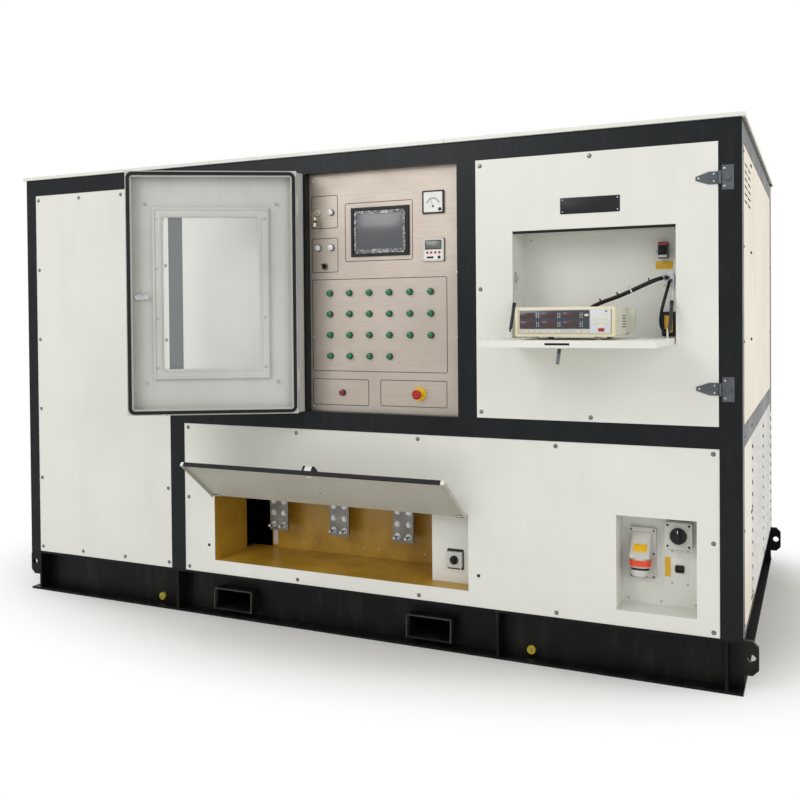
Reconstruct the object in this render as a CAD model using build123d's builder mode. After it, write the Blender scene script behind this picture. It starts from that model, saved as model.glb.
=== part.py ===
"""Containerised generator load bank: skid base, tube frame, folded panels, control door,
drop-leaf instrument shelf, cable hatch, air louvres, fan and resistor bank.

Frame: origin on the ground under the middle of the enclosure, +X to the right along the
control side, -Y out of the control side, +Z up. Lengths are in millimetres.
"""

import os
from math import atan2, cos, degrees, hypot, radians, sin

from build123d import *

# ------------------------------------------------------------------ driving dimensions
# Enclosure
frame_length = 3460.0
half_length = frame_length / 2
frame_depth = 2070.0
frame_top = 2100.0
base_height = 200.0
tube = 80.0
tube_wall = 4.0
left_post_width = 60.0
mid_rail_top = 975.0
front_post_centres = (half_length - 2522.0, half_length - 1852.0, half_length - 1058.0)
rear_post_centres = (-570.0, 570.0)
fit_gap = 0.3
sheet = 3.0
panel_recess = 2.0
panel_return = 25.0

# Skid base
channel_flange = 75.0
channel_wall = 10.0
deck_sheet = 3.0
crossmember_width = 80.0
crossmember_centres = (-1000.0, 0.0, 1000.0)
stiffener_thickness = 10.0
stiffener_inset = 59.0
stiffener_centres = (
    stiffener_inset - half_length, half_length - 2530.0, half_length - 936.0,
    half_length - stiffener_inset
)
pocket_spacing = 980.0
pocket_width = 184.0
pocket_height = 82.0
pocket_sill = 40.0
pocket_wall = 8.0
pocket_rake = 30.0
lug_thickness = 20.0
lug_reach = 50.0
lug_bottom = 63.0
lug_top = 190.0
lug_chamfer = 22.0
lug_hole_diameter = 30.0
earth_boss_centres = (half_length - 2667.0, half_length - 811.0)
earth_boss_diameter = 34.0
earth_boss_height = 12.0
earth_boss_z = 37.0

# Roof
roof_overhang = 12.0
roof_rise = 15.0
roof_lip = 32.0
roof_sheet_count = 3
roof_seam = 2.0
roof_plug_diameter = 33.0
roof_plug_height = 6.0
roof_plug_inset = 45.0

# Side panels, vents and louvres
side_seam_y = -555.0
side_stud = 40.0
vent_columns = 2
vent_rows = 6
vent_length = 140.0
vent_height = 10.0
vent_pitch = 28.0
vent_centre_y = -722.0
vent_centre_z = 1885.0
louvre_columns = 2
louvre_rows = 13
louvre_length = 660.0
louvre_pitch = 50.0
louvre_height = 30.0
louvre_reach = 9.0
louvre_sheet = 1.5

# Control plate and its instruments (places are from the bay's left edge and the mid rail)
plate_recess = 40.0
plate_sheet = 2.0
screen_width = 276.0
screen_height = 212.0
screen_centre = (347.0, 781.0)
meter_face = 96.0
phase_meter_centre = (596.0, 892.0)
timer_meter_centre = (596.0, 693.0)
bezel_height = 7.0
instrument_depth = 60.0
lamp_diameter = 29.0
lamp_height = 16.0
lamp_columns = 6
lamp_rows = 4
lamp_pitch_x = 96.0
lamp_pitch_z = 91.7
first_lamp = (100.0, 519.0)
last_row_lamps = 4
white_lamp_centres = ((109.0, 875.0), (45.0, 720.0), (109.0, 720.0))
alarm_lamp_centre = (159.0, 83.0)
switch_diameter = 29.0
switch_bezel_height = 6.0
key_switch_centre = (41.0, 875.0)
mode_selector_centre = (75.0, 638.0)
selector_grip = 24.0
selector_width = 9.0
selector_reach = 14.0
key_length = 42.0
key_width = 18.0
key_thickness = 3.0
estop_centre = (525.0, 86.0)
estop_ring_diameter = 60.0
estop_ring_height = 4.0
estop_collar_diameter = 30.0
estop_collar_height = 16.0
estop_head_diameter = 40.0
estop_head_height = 14.0
estop_stem_diameter = 16.0
estop_travel = 6.0
estop_stem_gap = 0.3

# Control door, standing open on its hinge stile
door_width = 726.0
door_height = 1046.0
door_depth = 50.0
door_skin = 2.0
door_lip = 26.0
door_open_angle = 151.0
door_stile_width = 40.0
door_hinge_gap = 2.0
gasket_inset = 5.0
gasket_width = 14.0
gasket_thickness = 6.0
gasket_corner = 26.0
knuckle_diameter = 9.0
knuckle_length = 90.0
door_hinge_spacing = 760.0
window_margin_hinge = 165.0
window_margin_free = 150.0
window_margin_top = 196.0
window_margin_bottom = 196.0
window_corner = 12.0
window_frame_width = 44.0
window_frame_thickness = 12.0
pane_thickness = 4.0
door_lock_inset = 34.0
door_lock_drop = 15.0
door_lock_radius = 14.0

# Service door with its strap hinges
strap_z = (1115.0, 1885.0)
strap_height = 46.0
strap_length = 84.0
strap_tip = 14.0
leaf_thickness = 3.0
fixed_leaf_width = 42.0
fixed_leaf_height = 90.0
hinge_barrel_diameter = 13.0
hinge_pin_diameter = 7.0
hinge_axis_inset = 3.5
buffer_diameter = 22.0
buffer_height = 9.0

# Instrument compartment behind the service door
compartment_left = half_length - 862.0
compartment_right = half_length - 232.0
compartment_bottom = 1278.0
compartment_top = 1725.0
compartment_depth = 190.0
compartment_sheet = 2.0
breaker_width = 36.0
breaker_height = 62.0
breaker_depth = 40.0
breaker_centre = (half_length - 302.0, 1640.0)
toggle_width = 24.0
toggle_reach = 12.0
toggle_height = 9.0
gland_plate = 56.0
gland_diameter = 42.0
gland_reach = 44.0
gland_centre = (half_length - 278.0, 1528.0)
adapter_width = 52.0
adapter_height = 96.0
adapter_depth = 30.0
adapter_centre = (half_length - 282.0, 1352.0)

# Drop-leaf shelf, its struts and the power meter standing on it
shelf_gap = 5.0
shelf_hinge_diameter = 6.0
shelf_reach = 425.0
shelf_thickness = 24.0
finger_slot_width = 88.0
finger_slot_height = 8.0
finger_slot_depth = 25.0
finger_slot_x = half_length - 570.0
latch_plate_width = 100.0
latch_plate_thickness = 3.0
latch_lever_length = 56.0
latch_lever_width = 12.0
latch_barrel_diameter = 8.0
strut_wall_pivot = (37.0, 265.0)
strut_shelf_pivot = (70.0, 53.0)
strut_offset_from_wall = 12.0
strut_rod_diameter = 5.0
strut_tube_diameter = 13.0
strut_tube_length = 120.0
strut_eye_diameter = 12.0
strut_eye_width = 4.0
strut_side_gap = 0.3
strut_pin_diameter = 5.0
strut_bracket_sheet = 3.0
strut_bracket_width = 24.0
meter_left = half_length - 748.0
meter_width = 357.0
meter_depth = 280.0
meter_height = 105.0
meter_foot_height = 12.0
meter_foot_diameter = 22.0
meter_front_gap = 95.0
meter_bezel = 9.0
meter_rear_bracket = 30.0
button_width = 20.0
button_height = 11.0
button_reach = 5.0
button_travel = 2.5

# Cables in the compartment
loom_diameter = 16.0
lead_diameter = 12.0

# Cable hatch with its insulating box and terminals
hatch_left = half_length - 2315.0
hatch_right = half_length - 1059.0
hatch_bottom = 262.0
hatch_top = 575.0
hatch_board = 8.0
hatch_side_depth = 266.0
hatch_back_depth = 330.0
hatch_back_left = half_length - 2206.0
hatch_back_right = half_length - 1258.0
switch_plate_depth = 96.0
terminal_width = 100.0
terminal_height = 234.0
terminal_thickness = 10.0
terminal_pitch = 328.0
terminal_middle_x = half_length - 1791.0
terminal_bottom = 366.0
terminal_depth = 250.0
insulator_diameter = 44.0
stud_diameter = 12.0
stud_reach = 34.0
stud_spacing = 56.0
stud_row = 28.0
bolt_row_pitch = 56.0
bolt_head_height = 8.0
bolt_across_flats = 19.0
hatch_switch_size = 66.0
hatch_switch_depth = 18.0
hatch_switch_centre = (half_length - 1151.0, 362.0)
hatch_knob_diameter = 34.0
hatch_knob_height = 16.0

# Hatch flap, standing open above its opening
flap_length = 300.0
flap_open_angle = 128.0
flap_skin = 2.0
flap_return = 14.0
flap_hinge_diameter = 8.0
flap_side_gap = 3.0
flap_leaf_height = 16.0
flap_latch_width = 46.0
flap_latch_height = 36.0
flap_latch_thickness = 10.0
flap_pawl_length = 26.0

# Socket recess
recess_left = half_length - 457.0
recess_right = half_length - 161.0
recess_bottom = 261.0
recess_top = 624.0
recess_depth = 130.0
socket_width = 101.0
socket_height = 198.0
socket_plate = 25.0
socket_centre = (half_length - 376.0, 462.0)
socket_barrel_diameter = 66.0
socket_barrel_length = 72.0
socket_barrel_tilt = 8.0
socket_barrel_out = 70.0
socket_ring_diameter = 78.0
socket_ring_width = 22.0
isolator_size = 101.0
isolator_depth = 48.0
isolator_centre = (half_length - 238.0, 545.0)
isolator_knob_diameter = 60.0
isolator_knob_height = 24.0
inlet_centre = (half_length - 239.0, 408.0)
inlet_width = 30.0
inlet_height = 24.0
inlet_reach = 8.0
inlet_wall = 2.5

# Air path inside
fan_diameter = 860.0
fan_x = 400.0 - half_length
fan_z = 850.0
fan_shroud_width = 90.0
fan_shroud_wall = 4.0
fan_panel_width = 1150.0
fan_panel_height = 1300.0
fan_panel_sheet = 5.0
fan_tip_gap = 8.0
fan_hub_diameter = 220.0
fan_hub_width = 70.0
fan_blade_count = 6
fan_root_pitch = 44.0
fan_tip_pitch = 62.0
fan_blade_root = 150.0
fan_blade_tip = 190.0
fan_blade_thickness = 5.0
motor_diameter = 200.0
motor_length = 260.0
fan_shaft_diameter = 28.0
fan_shaft_gap = 0.05
fan_arm_width = 40.0
fan_arm_thickness = 8.0
resistor_stack_length = 560.0
resistor_stack_centres = (-640.0, 0.0, 640.0)
resistor_plate = 4.0
resistor_plate_height = 1400.0
resistor_depth = 1100.0
resistor_centre_y = 330.0
element_diameter = 30.0
element_rows = 2
element_columns = 3
element_pitch = 360.0
rack_width = 640.0
rack_height = 860.0
contactor_rows = 3
contactor_columns = 4
contactor_width = 90.0
contactor_height = 120.0
contactor_depth = 95.0

# ------------------------------------------------------------------ derived places
front_y = -frame_depth / 2
rear_y = frame_depth / 2
mid_rail_bottom = mid_rail_top - tube
top_rail_bottom = frame_top - tube
left_bay_left = -half_length + left_post_width
right_post_left = half_length - tube
post_edges = [(centre - tube / 2, centre + tube / 2) for centre in front_post_centres]
(left_bay_right, mid_bay_left), (mid_bay_right, control_left), (control_right, service_left) = post_edges
service_right = right_post_left
plate_y = front_y + plate_recess


# ------------------------------------------------------------------ helpers
def front_plane(x=0.0, y=front_y, z=0.0):
    """Plane looking out of the control side, with its own x to the right and y up."""
    return Plane(origin=(x, y, z), x_dir=(1, 0, 0), z_dir=(0, -1, 0))


def rear_plane(x, y, z):
    """Plane looking out of the rear."""
    return Plane(origin=(x, y, z), x_dir=(-1, 0, 0), z_dir=(0, 1, 0))


def right_plane(x, y, z):
    """Plane looking out of the right end."""
    return Plane(origin=(x, y, z), x_dir=(0, 1, 0), z_dir=(1, 0, 0))


def left_plane(x, y, z):
    """Plane looking out of the left end."""
    return Plane(origin=(x, y, z), x_dir=(0, -1, 0), z_dir=(-1, 0, 0))


def slab(plane, width, height, depth, centre=(0.0, 0.0), mode=Mode.ADD):
    """Rectangle on a plane, made solid behind it (a negative depth stands in front)."""
    with BuildSketch(plane) as outline:
        with Locations(centre):
            Rectangle(width, height)
    extrude(outline.sketch, amount=-depth, mode=mode)


def folded_panel(plane, width, height, depth=panel_return, wall=sheet):
    """Flat sheet with its four edges folded back behind its face."""
    slab(plane, width, height, wall)
    with BuildSketch(plane.offset(-wall)) as fold:
        Rectangle(width, height)
        Rectangle(width - 2 * wall, height - 2 * wall, mode=Mode.SUBTRACT)
    extrude(fold.sketch, amount=wall - depth)


def turned(plane, radii_and_heights, mode=Mode.ADD):
    """Round piece standing on a plane: stacked steps of (radius, height)."""
    level = 0.0
    for radius, height in radii_and_heights:
        with BuildSketch(plane.offset(level)) as disc:
            Circle(radius)
        extrude(disc.sketch, amount=height, mode=mode)
        level += height


def bar(plane, width, height, length, wall=tube_wall):
    """Hollow rectangular tube that runs along the plane's normal."""
    with BuildSketch(plane) as section:
        Rectangle(width, height)
        Rectangle(width - 2 * wall, height - 2 * wall, mode=Mode.SUBTRACT)
    extrude(section.sketch, amount=length)


def save(piece, name):
    """Label a finished piece and write it as one STEP file."""
    piece.part.label = name
    export_step(piece.part, f"parts/{name}.step")


os.makedirs("parts", exist_ok=True)

# ------------------------------------------------------------------ skid base
pocket_outer_width = pocket_width + 2 * pocket_wall
pocket_outer_height = pocket_height + 2 * pocket_wall
pocket_centre_z = pocket_sill + pocket_height / 2
pocket_centres = (-pocket_spacing / 2, pocket_spacing / 2)
web_face = frame_depth / 2 - channel_flange + channel_wall

with BuildPart() as base_rails:
    for side in (-1, 1):
        with BuildSketch(Plane.YZ.offset(-half_length)) as channel:
            with Locations((side * (frame_depth / 2 - channel_flange / 2), base_height / 2)):
                Rectangle(channel_flange, base_height)
            with Locations((side * (frame_depth / 2 - (channel_flange - channel_wall) / 2), base_height / 2)):
                Rectangle(
                    channel_flange - channel_wall, base_height - 2 * channel_wall, mode=Mode.SUBTRACT
                )
        extrude(channel.sketch, amount=frame_length)
    for x in pocket_centres:
        slab(
            front_plane(x, front_y, pocket_centre_z), pocket_outer_width, pocket_outer_height, frame_depth,
            mode=Mode.SUBTRACT,
        )
    for side in (-1, 1):
        for x in stiffener_centres:
            with Locations((x, side * (web_face + (channel_flange - channel_wall) / 2), base_height / 2)):
                Box(stiffener_thickness, channel_flange - channel_wall, base_height - 2 * channel_wall)
    for x in earth_boss_centres:
        with BuildSketch(front_plane(x, -web_face, earth_boss_z)) as boss:
            Circle(earth_boss_diameter / 2)
        extrude(boss.sketch, amount=earth_boss_height)
save(base_rails, "base_rails")

deck_bottom = base_height - deck_sheet
inner_half_depth = frame_depth / 2 - channel_flange
with BuildPart() as base_deck:
    for x in crossmember_centres:
        with Locations((x, 0, deck_bottom / 2)):
            Box(crossmember_width, 2 * inner_half_depth, deck_bottom)
            Box(
                crossmember_width - 2 * channel_wall,
                2 * inner_half_depth,
                deck_bottom - 2 * channel_wall,
                mode=Mode.SUBTRACT,
            )
    for side in (-1, 1):
        with BuildSketch(Plane.XZ.offset(-inner_half_depth)) as end_channel:
            with Locations((side * (half_length - channel_flange / 2), deck_bottom / 2)):
                Rectangle(channel_flange, deck_bottom)
            with Locations((side * (half_length - (channel_flange - channel_wall) / 2), deck_bottom / 2)):
                Rectangle(
                    channel_flange - channel_wall, deck_bottom - 2 * channel_wall, mode=Mode.SUBTRACT
                )
        extrude(end_channel.sketch, amount=2 * inner_half_depth)
    with Locations((0, 0, base_height - deck_sheet / 2)):
        Box(frame_length, 2 * inner_half_depth, deck_sheet)
save(base_deck, "base_deck")

with BuildPart() as fork_pockets:
    for x in pocket_centres:
        with BuildSketch(Plane.XZ.offset(-frame_depth / 2)) as pocket:
            with Locations((x, pocket_centre_z)):
                Rectangle(pocket_outer_width, pocket_outer_height)
                Rectangle(pocket_width, pocket_height, mode=Mode.SUBTRACT)
        extrude(pocket.sketch, amount=frame_depth)
        for side in (-1, 1):
            with BuildSketch(Plane.YZ.offset(x - pocket_outer_width / 2)) as rake:
                with BuildLine():
                    Polyline(
                        (side * (frame_depth / 2 - 2), 0),
                        (side * (frame_depth / 2 - 2 - pocket_rake), base_height),
                        (side * frame_depth, base_height),
                        (side * frame_depth, 0),
                        close=True,
                    )
                make_face()
            extrude(rake.sketch, amount=pocket_outer_width, mode=Mode.SUBTRACT)
save(fork_pockets, "fork_pockets")

lug_root = stiffener_centres[-1] + stiffener_thickness / 2
lug_hole_x = half_length + lug_reach / 2
lug_hole_z = (lug_bottom + lug_top) / 2
with BuildPart() as lashing_lugs:
    for end in (-1, 1):
        for side in (-1, 1):
            with BuildSketch(Plane.XZ.offset(-side * web_face - (side - 1) / 2 * lug_thickness)) as lug:
                with Locations((end * (lug_root + half_length + lug_reach) / 2, lug_hole_z)):
                    Rectangle(half_length + lug_reach - lug_root, lug_top - lug_bottom)
                chamfer(lug.vertices().group_by(Axis.X)[-1 if end > 0 else 0], length=lug_chamfer)
                with Locations((end * lug_hole_x, lug_hole_z)):
                    Circle(lug_hole_diameter / 2, mode=Mode.SUBTRACT)
            extrude(lug.sketch, amount=-lug_thickness)
save(lashing_lugs, "lashing_lugs")

# ------------------------------------------------------------------ tube frame and roof
post_bottom = base_height
with BuildPart() as frame_posts:
    corner_x = half_length - tube / 2
    left_corner_x = -half_length + left_post_width / 2
    for y in (front_y + tube / 2, rear_y - tube / 2):
        bar(Plane((corner_x, y, post_bottom)), tube, tube, frame_top - post_bottom)
        bar(Plane((left_corner_x, y, post_bottom)), left_post_width, tube, frame_top - post_bottom)
    bar(
        Plane((front_post_centres[0], front_y + tube / 2, post_bottom)), tube, tube,
        top_rail_bottom - post_bottom,
    )
    for x in front_post_centres[1:]:
        bar(Plane((x, front_y + tube / 2, mid_rail_top)), tube, tube, top_rail_bottom - mid_rail_top)
    for x in rear_post_centres:
        bar(Plane((x, rear_y - tube / 2, post_bottom)), tube, tube, top_rail_bottom - post_bottom)
    stud_face = half_length - panel_recess - panel_return
    for end in (-1, 1):
        with Locations((end * (stud_face - side_stud / 2), side_seam_y, (post_bottom + top_rail_bottom) / 2)):
            Box(side_stud, side_stud, top_rail_bottom - post_bottom)
save(frame_posts, "frame_posts")

mid_rail_z = mid_rail_top - tube / 2
top_rail_z = frame_top - tube / 2
post_inner_y = frame_depth / 2 - tube
with BuildPart() as frame_rails:
    for y in (front_y + tube / 2, rear_y - tube / 2):
        bar(
            Plane((left_bay_left, y, top_rail_z), x_dir=(0, 1, 0), z_dir=(1, 0, 0)),
            tube, tube, right_post_left - left_bay_left,
        )
    bar(
        Plane((mid_bay_left, front_y + tube / 2, mid_rail_z), x_dir=(0, 1, 0), z_dir=(1, 0, 0)),
        tube, tube, right_post_left - mid_bay_left,
    )
    rear_bays = [left_bay_left]
    for centre in rear_post_centres:
        rear_bays += [centre - tube / 2, centre + tube / 2]
    rear_bays.append(right_post_left)
    rear_spans = list(zip(rear_bays[0::2], rear_bays[1::2]))
    for start, end in rear_spans:
        bar(
            Plane((start, rear_y - tube / 2, mid_rail_z), x_dir=(0, 1, 0), z_dir=(1, 0, 0)),
            tube, tube, end - start,
        )
    for x, width in ((corner_x, tube), (left_corner_x, left_post_width)):
        for z in (mid_rail_z, top_rail_z):
            bar(Plane((x, post_inner_y, z), x_dir=(1, 0, 0), z_dir=(0, -1, 0)), width, tube, 2 * post_inner_y)
    for end in (-1, 1):
        with Locations((end * (stud_face - side_stud / 2), side_seam_y, mid_rail_z)):
            Box(side_stud, side_stud, tube, mode=Mode.SUBTRACT)
save(frame_rails, "frame_rails")

roof_length = frame_length + 2 * roof_overhang
roof_width = frame_depth + 2 * roof_overhang
roof_piece = (roof_length - (roof_sheet_count - 1) * roof_seam) / roof_sheet_count
with BuildPart() as roof_sheets:
    for index in range(roof_sheet_count):
        x = -roof_length / 2 + roof_piece / 2 + index * (roof_piece + roof_seam)
        top = Plane((x, 0, frame_top + roof_rise))
        folded_panel(top, roof_piece, roof_width, depth=roof_rise)
        with BuildSketch(Plane((x, 0, frame_top))) as lip:
            Rectangle(roof_piece, roof_width)
            Rectangle(roof_piece - 2 * sheet, roof_width - 2 * roof_lip, mode=Mode.SUBTRACT)
        extrude(lip.sketch, amount=sheet)
    with Locations(Plane.XY.offset(frame_top + roof_rise)):
        with GridLocations(
            frame_length - 2 * roof_plug_inset, frame_depth - 2 * roof_plug_inset, 2, 2
        ):
            Cylinder(
                roof_plug_diameter / 2, roof_plug_height, align=(Align.CENTER, Align.CENTER, Align.MIN)
            )
save(roof_sheets, "roof_sheets")

# ------------------------------------------------------------------ fixed panels
panel_y = front_y + panel_recess


def front_panel(left, right, bottom, top):
    """Folded panel that fills a bay of the control side, a fitting gap clear of its tubes."""
    folded_panel(
        front_plane((left + right) / 2, panel_y, (bottom + top) / 2),
        right - left - 2 * fit_gap, top - bottom - 2 * fit_gap,
    )


def face_cut(left, right, bottom, top, depth=panel_return):
    """Rectangular opening through the folded panels of the control side."""
    slab(
        front_plane((left + right) / 2, front_y - 1, (bottom + top) / 2), right - left, top - bottom,
        depth + panel_recess + 1, mode=Mode.SUBTRACT,
    )


with BuildPart() as front_panels:
    front_panel(left_bay_left, left_bay_right, base_height, top_rail_bottom)
    front_panel(mid_bay_left, mid_bay_right, mid_rail_top, top_rail_bottom)
save(front_panels, "front_panels")

flap_axis = (
    front_y - flap_hinge_diameter / 2 + 1.0, hatch_top - flap_hinge_diameter / 2 - fit_gap
)
flap_width = hatch_right - hatch_left - 2 * flap_side_gap
with BuildPart() as lower_front_panel:
    front_panel(mid_bay_left, right_post_left, base_height, mid_rail_bottom)
    slab(
        front_plane((hatch_left + hatch_right) / 2, panel_y, hatch_top + flap_leaf_height / 2),
        flap_width, flap_leaf_height, flap_axis[0] - panel_y,
    )
    face_cut(hatch_left, hatch_right, hatch_bottom, hatch_top)
    face_cut(recess_left, recess_right, recess_bottom, recess_top)
save(lower_front_panel, "lower_front_panel")


def end_panel(end, y_low, y_high, bottom, top):
    """Folded panel on the right end (end = 1) or the left end (end = -1)."""
    facing = right_plane if end > 0 else left_plane
    folded_panel(
        facing(end * (half_length - panel_recess), (y_low + y_high) / 2, (bottom + top) / 2),
        y_high - y_low - 2 * fit_gap, top - bottom - 2 * fit_gap,
    )


def plain_end_panels(end):
    """The three plain panels of one end: narrow upper, narrow lower and wide upper."""
    end_panel(end, -post_inner_y, side_seam_y, mid_rail_top, top_rail_bottom)
    end_panel(end, -post_inner_y, side_seam_y, base_height, mid_rail_bottom)
    end_panel(end, side_seam_y, post_inner_y, mid_rail_top, top_rail_bottom)


def louvre_panel(end):
    """Lower panel of one end, with columns of pressed louvres that open downward."""
    end_panel(end, side_seam_y, post_inner_y, base_height, mid_rail_bottom)
    face_x = half_length - panel_recess
    middle_z = (base_height + mid_rail_bottom) / 2
    column_pitch = (post_inner_y - side_seam_y) / louvre_columns
    for column in range(louvre_columns):
        y = side_seam_y + (column + 0.5) * column_pitch
        for row in range(louvre_rows):
            z = middle_z + (row - (louvre_rows - 1) / 2) * louvre_pitch
            with BuildSketch(Plane.XZ.offset(-y - louvre_length / 2)) as mouth:
                with BuildLine():
                    Polyline(
                        (end * (face_x - sheet), z - louvre_height / 2),
                        (end * (face_x + louvre_reach), z - louvre_height / 2),
                        (end * (face_x - sheet), z + louvre_height / 2),
                        close=True,
                    )
                make_face()
            extrude(mouth.sketch, amount=louvre_length, mode=Mode.SUBTRACT)
            with BuildSketch(Plane.XZ.offset(-y - louvre_length / 2)) as hood:
                with BuildLine():
                    Polyline(
                        (end * (face_x + louvre_reach), z - louvre_height / 2),
                        (end * (face_x + louvre_reach - louvre_sheet), z - louvre_height / 2),
                        (end * (face_x - sheet), z + louvre_height / 2 - louvre_sheet),
                        (end * (face_x - sheet), z + louvre_height / 2),
                        close=True,
                    )
                make_face()
            extrude(hood.sketch, amount=louvre_length)


with BuildPart() as right_side_panels:
    plain_end_panels(1)
    for column in range(vent_columns):
        for row in range(vent_rows):
            slab(
                right_plane(
                    half_length,
                    vent_centre_y + (column - (vent_columns - 1) / 2) * (vent_length + vent_pitch),
                    vent_centre_z + (row - (vent_rows - 1) / 2) * vent_pitch,
                ),
                vent_length, vent_height, panel_return, mode=Mode.SUBTRACT,
            )
save(right_side_panels, "right_side_panels")

with BuildPart() as intake_louvre_panel:
    louvre_panel(1)
save(intake_louvre_panel, "intake_louvre_panel")

with BuildPart() as left_side_panels:
    plain_end_panels(-1)
    louvre_panel(-1)
save(left_side_panels, "left_side_panels")

with BuildPart() as rear_panels:
    for start, end in rear_spans:
        for bottom, top in ((base_height, mid_rail_bottom), (mid_rail_top, top_rail_bottom)):
            folded_panel(
                rear_plane((start + end) / 2, rear_y - panel_recess, (bottom + top) / 2),
                end - start - 2 * fit_gap, top - bottom - 2 * fit_gap,
            )
save(rear_panels, "rear_panels")

# ------------------------------------------------------------------ control plate
bay_width = control_right - control_left
bay_height = top_rail_bottom - mid_rail_top


def on_plate(place, out=0.0):
    """Plane on the control plate at a place measured from the bay's lower left corner."""
    return front_plane(control_left + place[0], plate_y - out, mid_rail_top + place[1])


screens = (
    (screen_centre, screen_width, screen_height),
    (phase_meter_centre, meter_face, meter_face),
    (timer_meter_centre, meter_face, meter_face),
)
cutout_rim = 4.0
with BuildPart() as control_plate:
    folded_panel(
        on_plate((bay_width / 2, bay_height / 2)), bay_width - 2 * fit_gap, bay_height - 2 * fit_gap,
        wall=plate_sheet,
    )
    for place, width, height in screens:
        slab(
            on_plate(place), width - 2 * cutout_rim, height - 2 * cutout_rim, plate_sheet,
            mode=Mode.SUBTRACT,
        )
save(control_plate, "control_plate")


def panel_instrument(place, width, height):
    """Instrument with a bezel on the plate and a case that passes through its cut-out."""
    slab(on_plate(place), width, height, -bezel_height)
    slab(on_plate(place), width - 4 * bezel_height, height - 4 * bezel_height, instrument_depth)
    slab(
        on_plate(place, bezel_height), width - 2 * bezel_height, height - 2 * bezel_height,
        bezel_height / 4, mode=Mode.SUBTRACT,
    )


with BuildPart() as panel_instruments:
    for item in screens:
        panel_instrument(*item)
save(panel_instruments, "panel_instruments")

lamp_steps = ((lamp_diameter / 2, lamp_height / 3), (lamp_diameter * 0.38, lamp_height * 2 / 3))
with BuildPart() as panel_lamps:
    for row in range(lamp_rows):
        for column in range(lamp_columns if row < lamp_rows - 1 else last_row_lamps):
            place = (first_lamp[0] + column * lamp_pitch_x, first_lamp[1] - row * lamp_pitch_z)
            turned(on_plate(place), lamp_steps)
    for place in (*white_lamp_centres, alarm_lamp_centre):
        turned(on_plate(place), lamp_steps)
save(panel_lamps, "panel_lamps")

with BuildPart() as mode_selector:
    turned(on_plate(mode_selector_centre, switch_bezel_height), ((selector_grip / 2, 3.0),))
    slab(
        on_plate(mode_selector_centre, switch_bezel_height + 3.0), selector_width, selector_grip - 2,
        -selector_reach,
    )
save(mode_selector, "mode_selector")

with BuildPart() as control_key:
    turned(on_plate(key_switch_centre, switch_bezel_height), ((4.0, key_length / 3),))
    with BuildSketch(
        Plane(
            origin=(control_left + key_switch_centre[0] - key_thickness / 2,
                    plate_y - switch_bezel_height - key_length / 3,
                    mid_rail_top + key_switch_centre[1]),
            x_dir=(0, -1, 0), z_dir=(1, 0, 0),
        )
    ) as bow:
        with Locations((key_width / 2 - 1, 0)):
            Circle(key_width / 2)
            Circle(key_width / 6, mode=Mode.SUBTRACT)
    extrude(bow.sketch, amount=key_thickness)
save(control_key, "control_key")

with BuildPart() as estop_base:
    turned(on_plate(estop_centre), (
        (estop_ring_diameter / 2, estop_ring_height),
        (estop_collar_diameter / 2, estop_collar_height),
    ))
    with BuildSketch(on_plate(estop_centre, estop_ring_height)) as stem_bore:
        Circle(estop_stem_diameter / 2 + estop_stem_gap)
    extrude(stem_bore.sketch, amount=estop_collar_height, mode=Mode.SUBTRACT)
save(estop_base, "estop_base")

estop_collar_top = estop_ring_height + estop_collar_height
with BuildPart() as estop_button:
    turned(on_plate(estop_centre, estop_collar_top - 8), (
        (estop_stem_diameter / 2, 8 + estop_travel + 1),
        (estop_head_diameter / 2, estop_head_height),
    ))
    chamfer(estop_button.faces().sort_by(Axis.Y)[0].edges(), length=estop_head_height * 0.4)
save(estop_button, "estop_button")

# ------------------------------------------------------------------ control door
door_axis = (control_left - 10.0, front_y - door_depth)
door_centre_z = (mid_rail_top + top_rail_bottom) / 2
door_turn = radians(door_open_angle)
door_plane = Plane(
    origin=(*door_axis, door_centre_z),
    x_dir=(cos(door_turn), -sin(door_turn), 0),
    z_dir=(-sin(door_turn), -cos(door_turn), 0),
)
knuckle_heights = (-door_hinge_spacing / 2, door_hinge_spacing / 2)
door_left = door_hinge_gap
door_right = door_left + door_width
door_middle = (door_left + door_right) / 2
window_left = door_left + window_margin_hinge
window_right = door_right - window_margin_free
window_width = window_right - window_left
window_height = door_height - window_margin_top - window_margin_bottom
window_centre = ((window_left + window_right) / 2, (window_margin_bottom - window_margin_top) / 2)
lip_depth = door_depth - gasket_thickness - 1

with BuildPart() as hinge_stile:
    with Locations((door_axis[0] - door_hinge_gap / 2 - door_stile_width / 2,
                    front_y - (door_depth - 1) / 2, door_centre_z)):
        Box(door_stile_width, door_depth - 1, door_height)
    for z in knuckle_heights:
        with Locations((*door_axis, door_centre_z + z)):
            Cylinder(knuckle_diameter / 2, knuckle_length)
            with Locations((-door_hinge_gap - knuckle_diameter / 4, knuckle_diameter / 2, 0)):
                Box(knuckle_diameter / 2 + door_hinge_gap, knuckle_diameter, knuckle_length)
save(hinge_stile, "hinge_stile")

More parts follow.
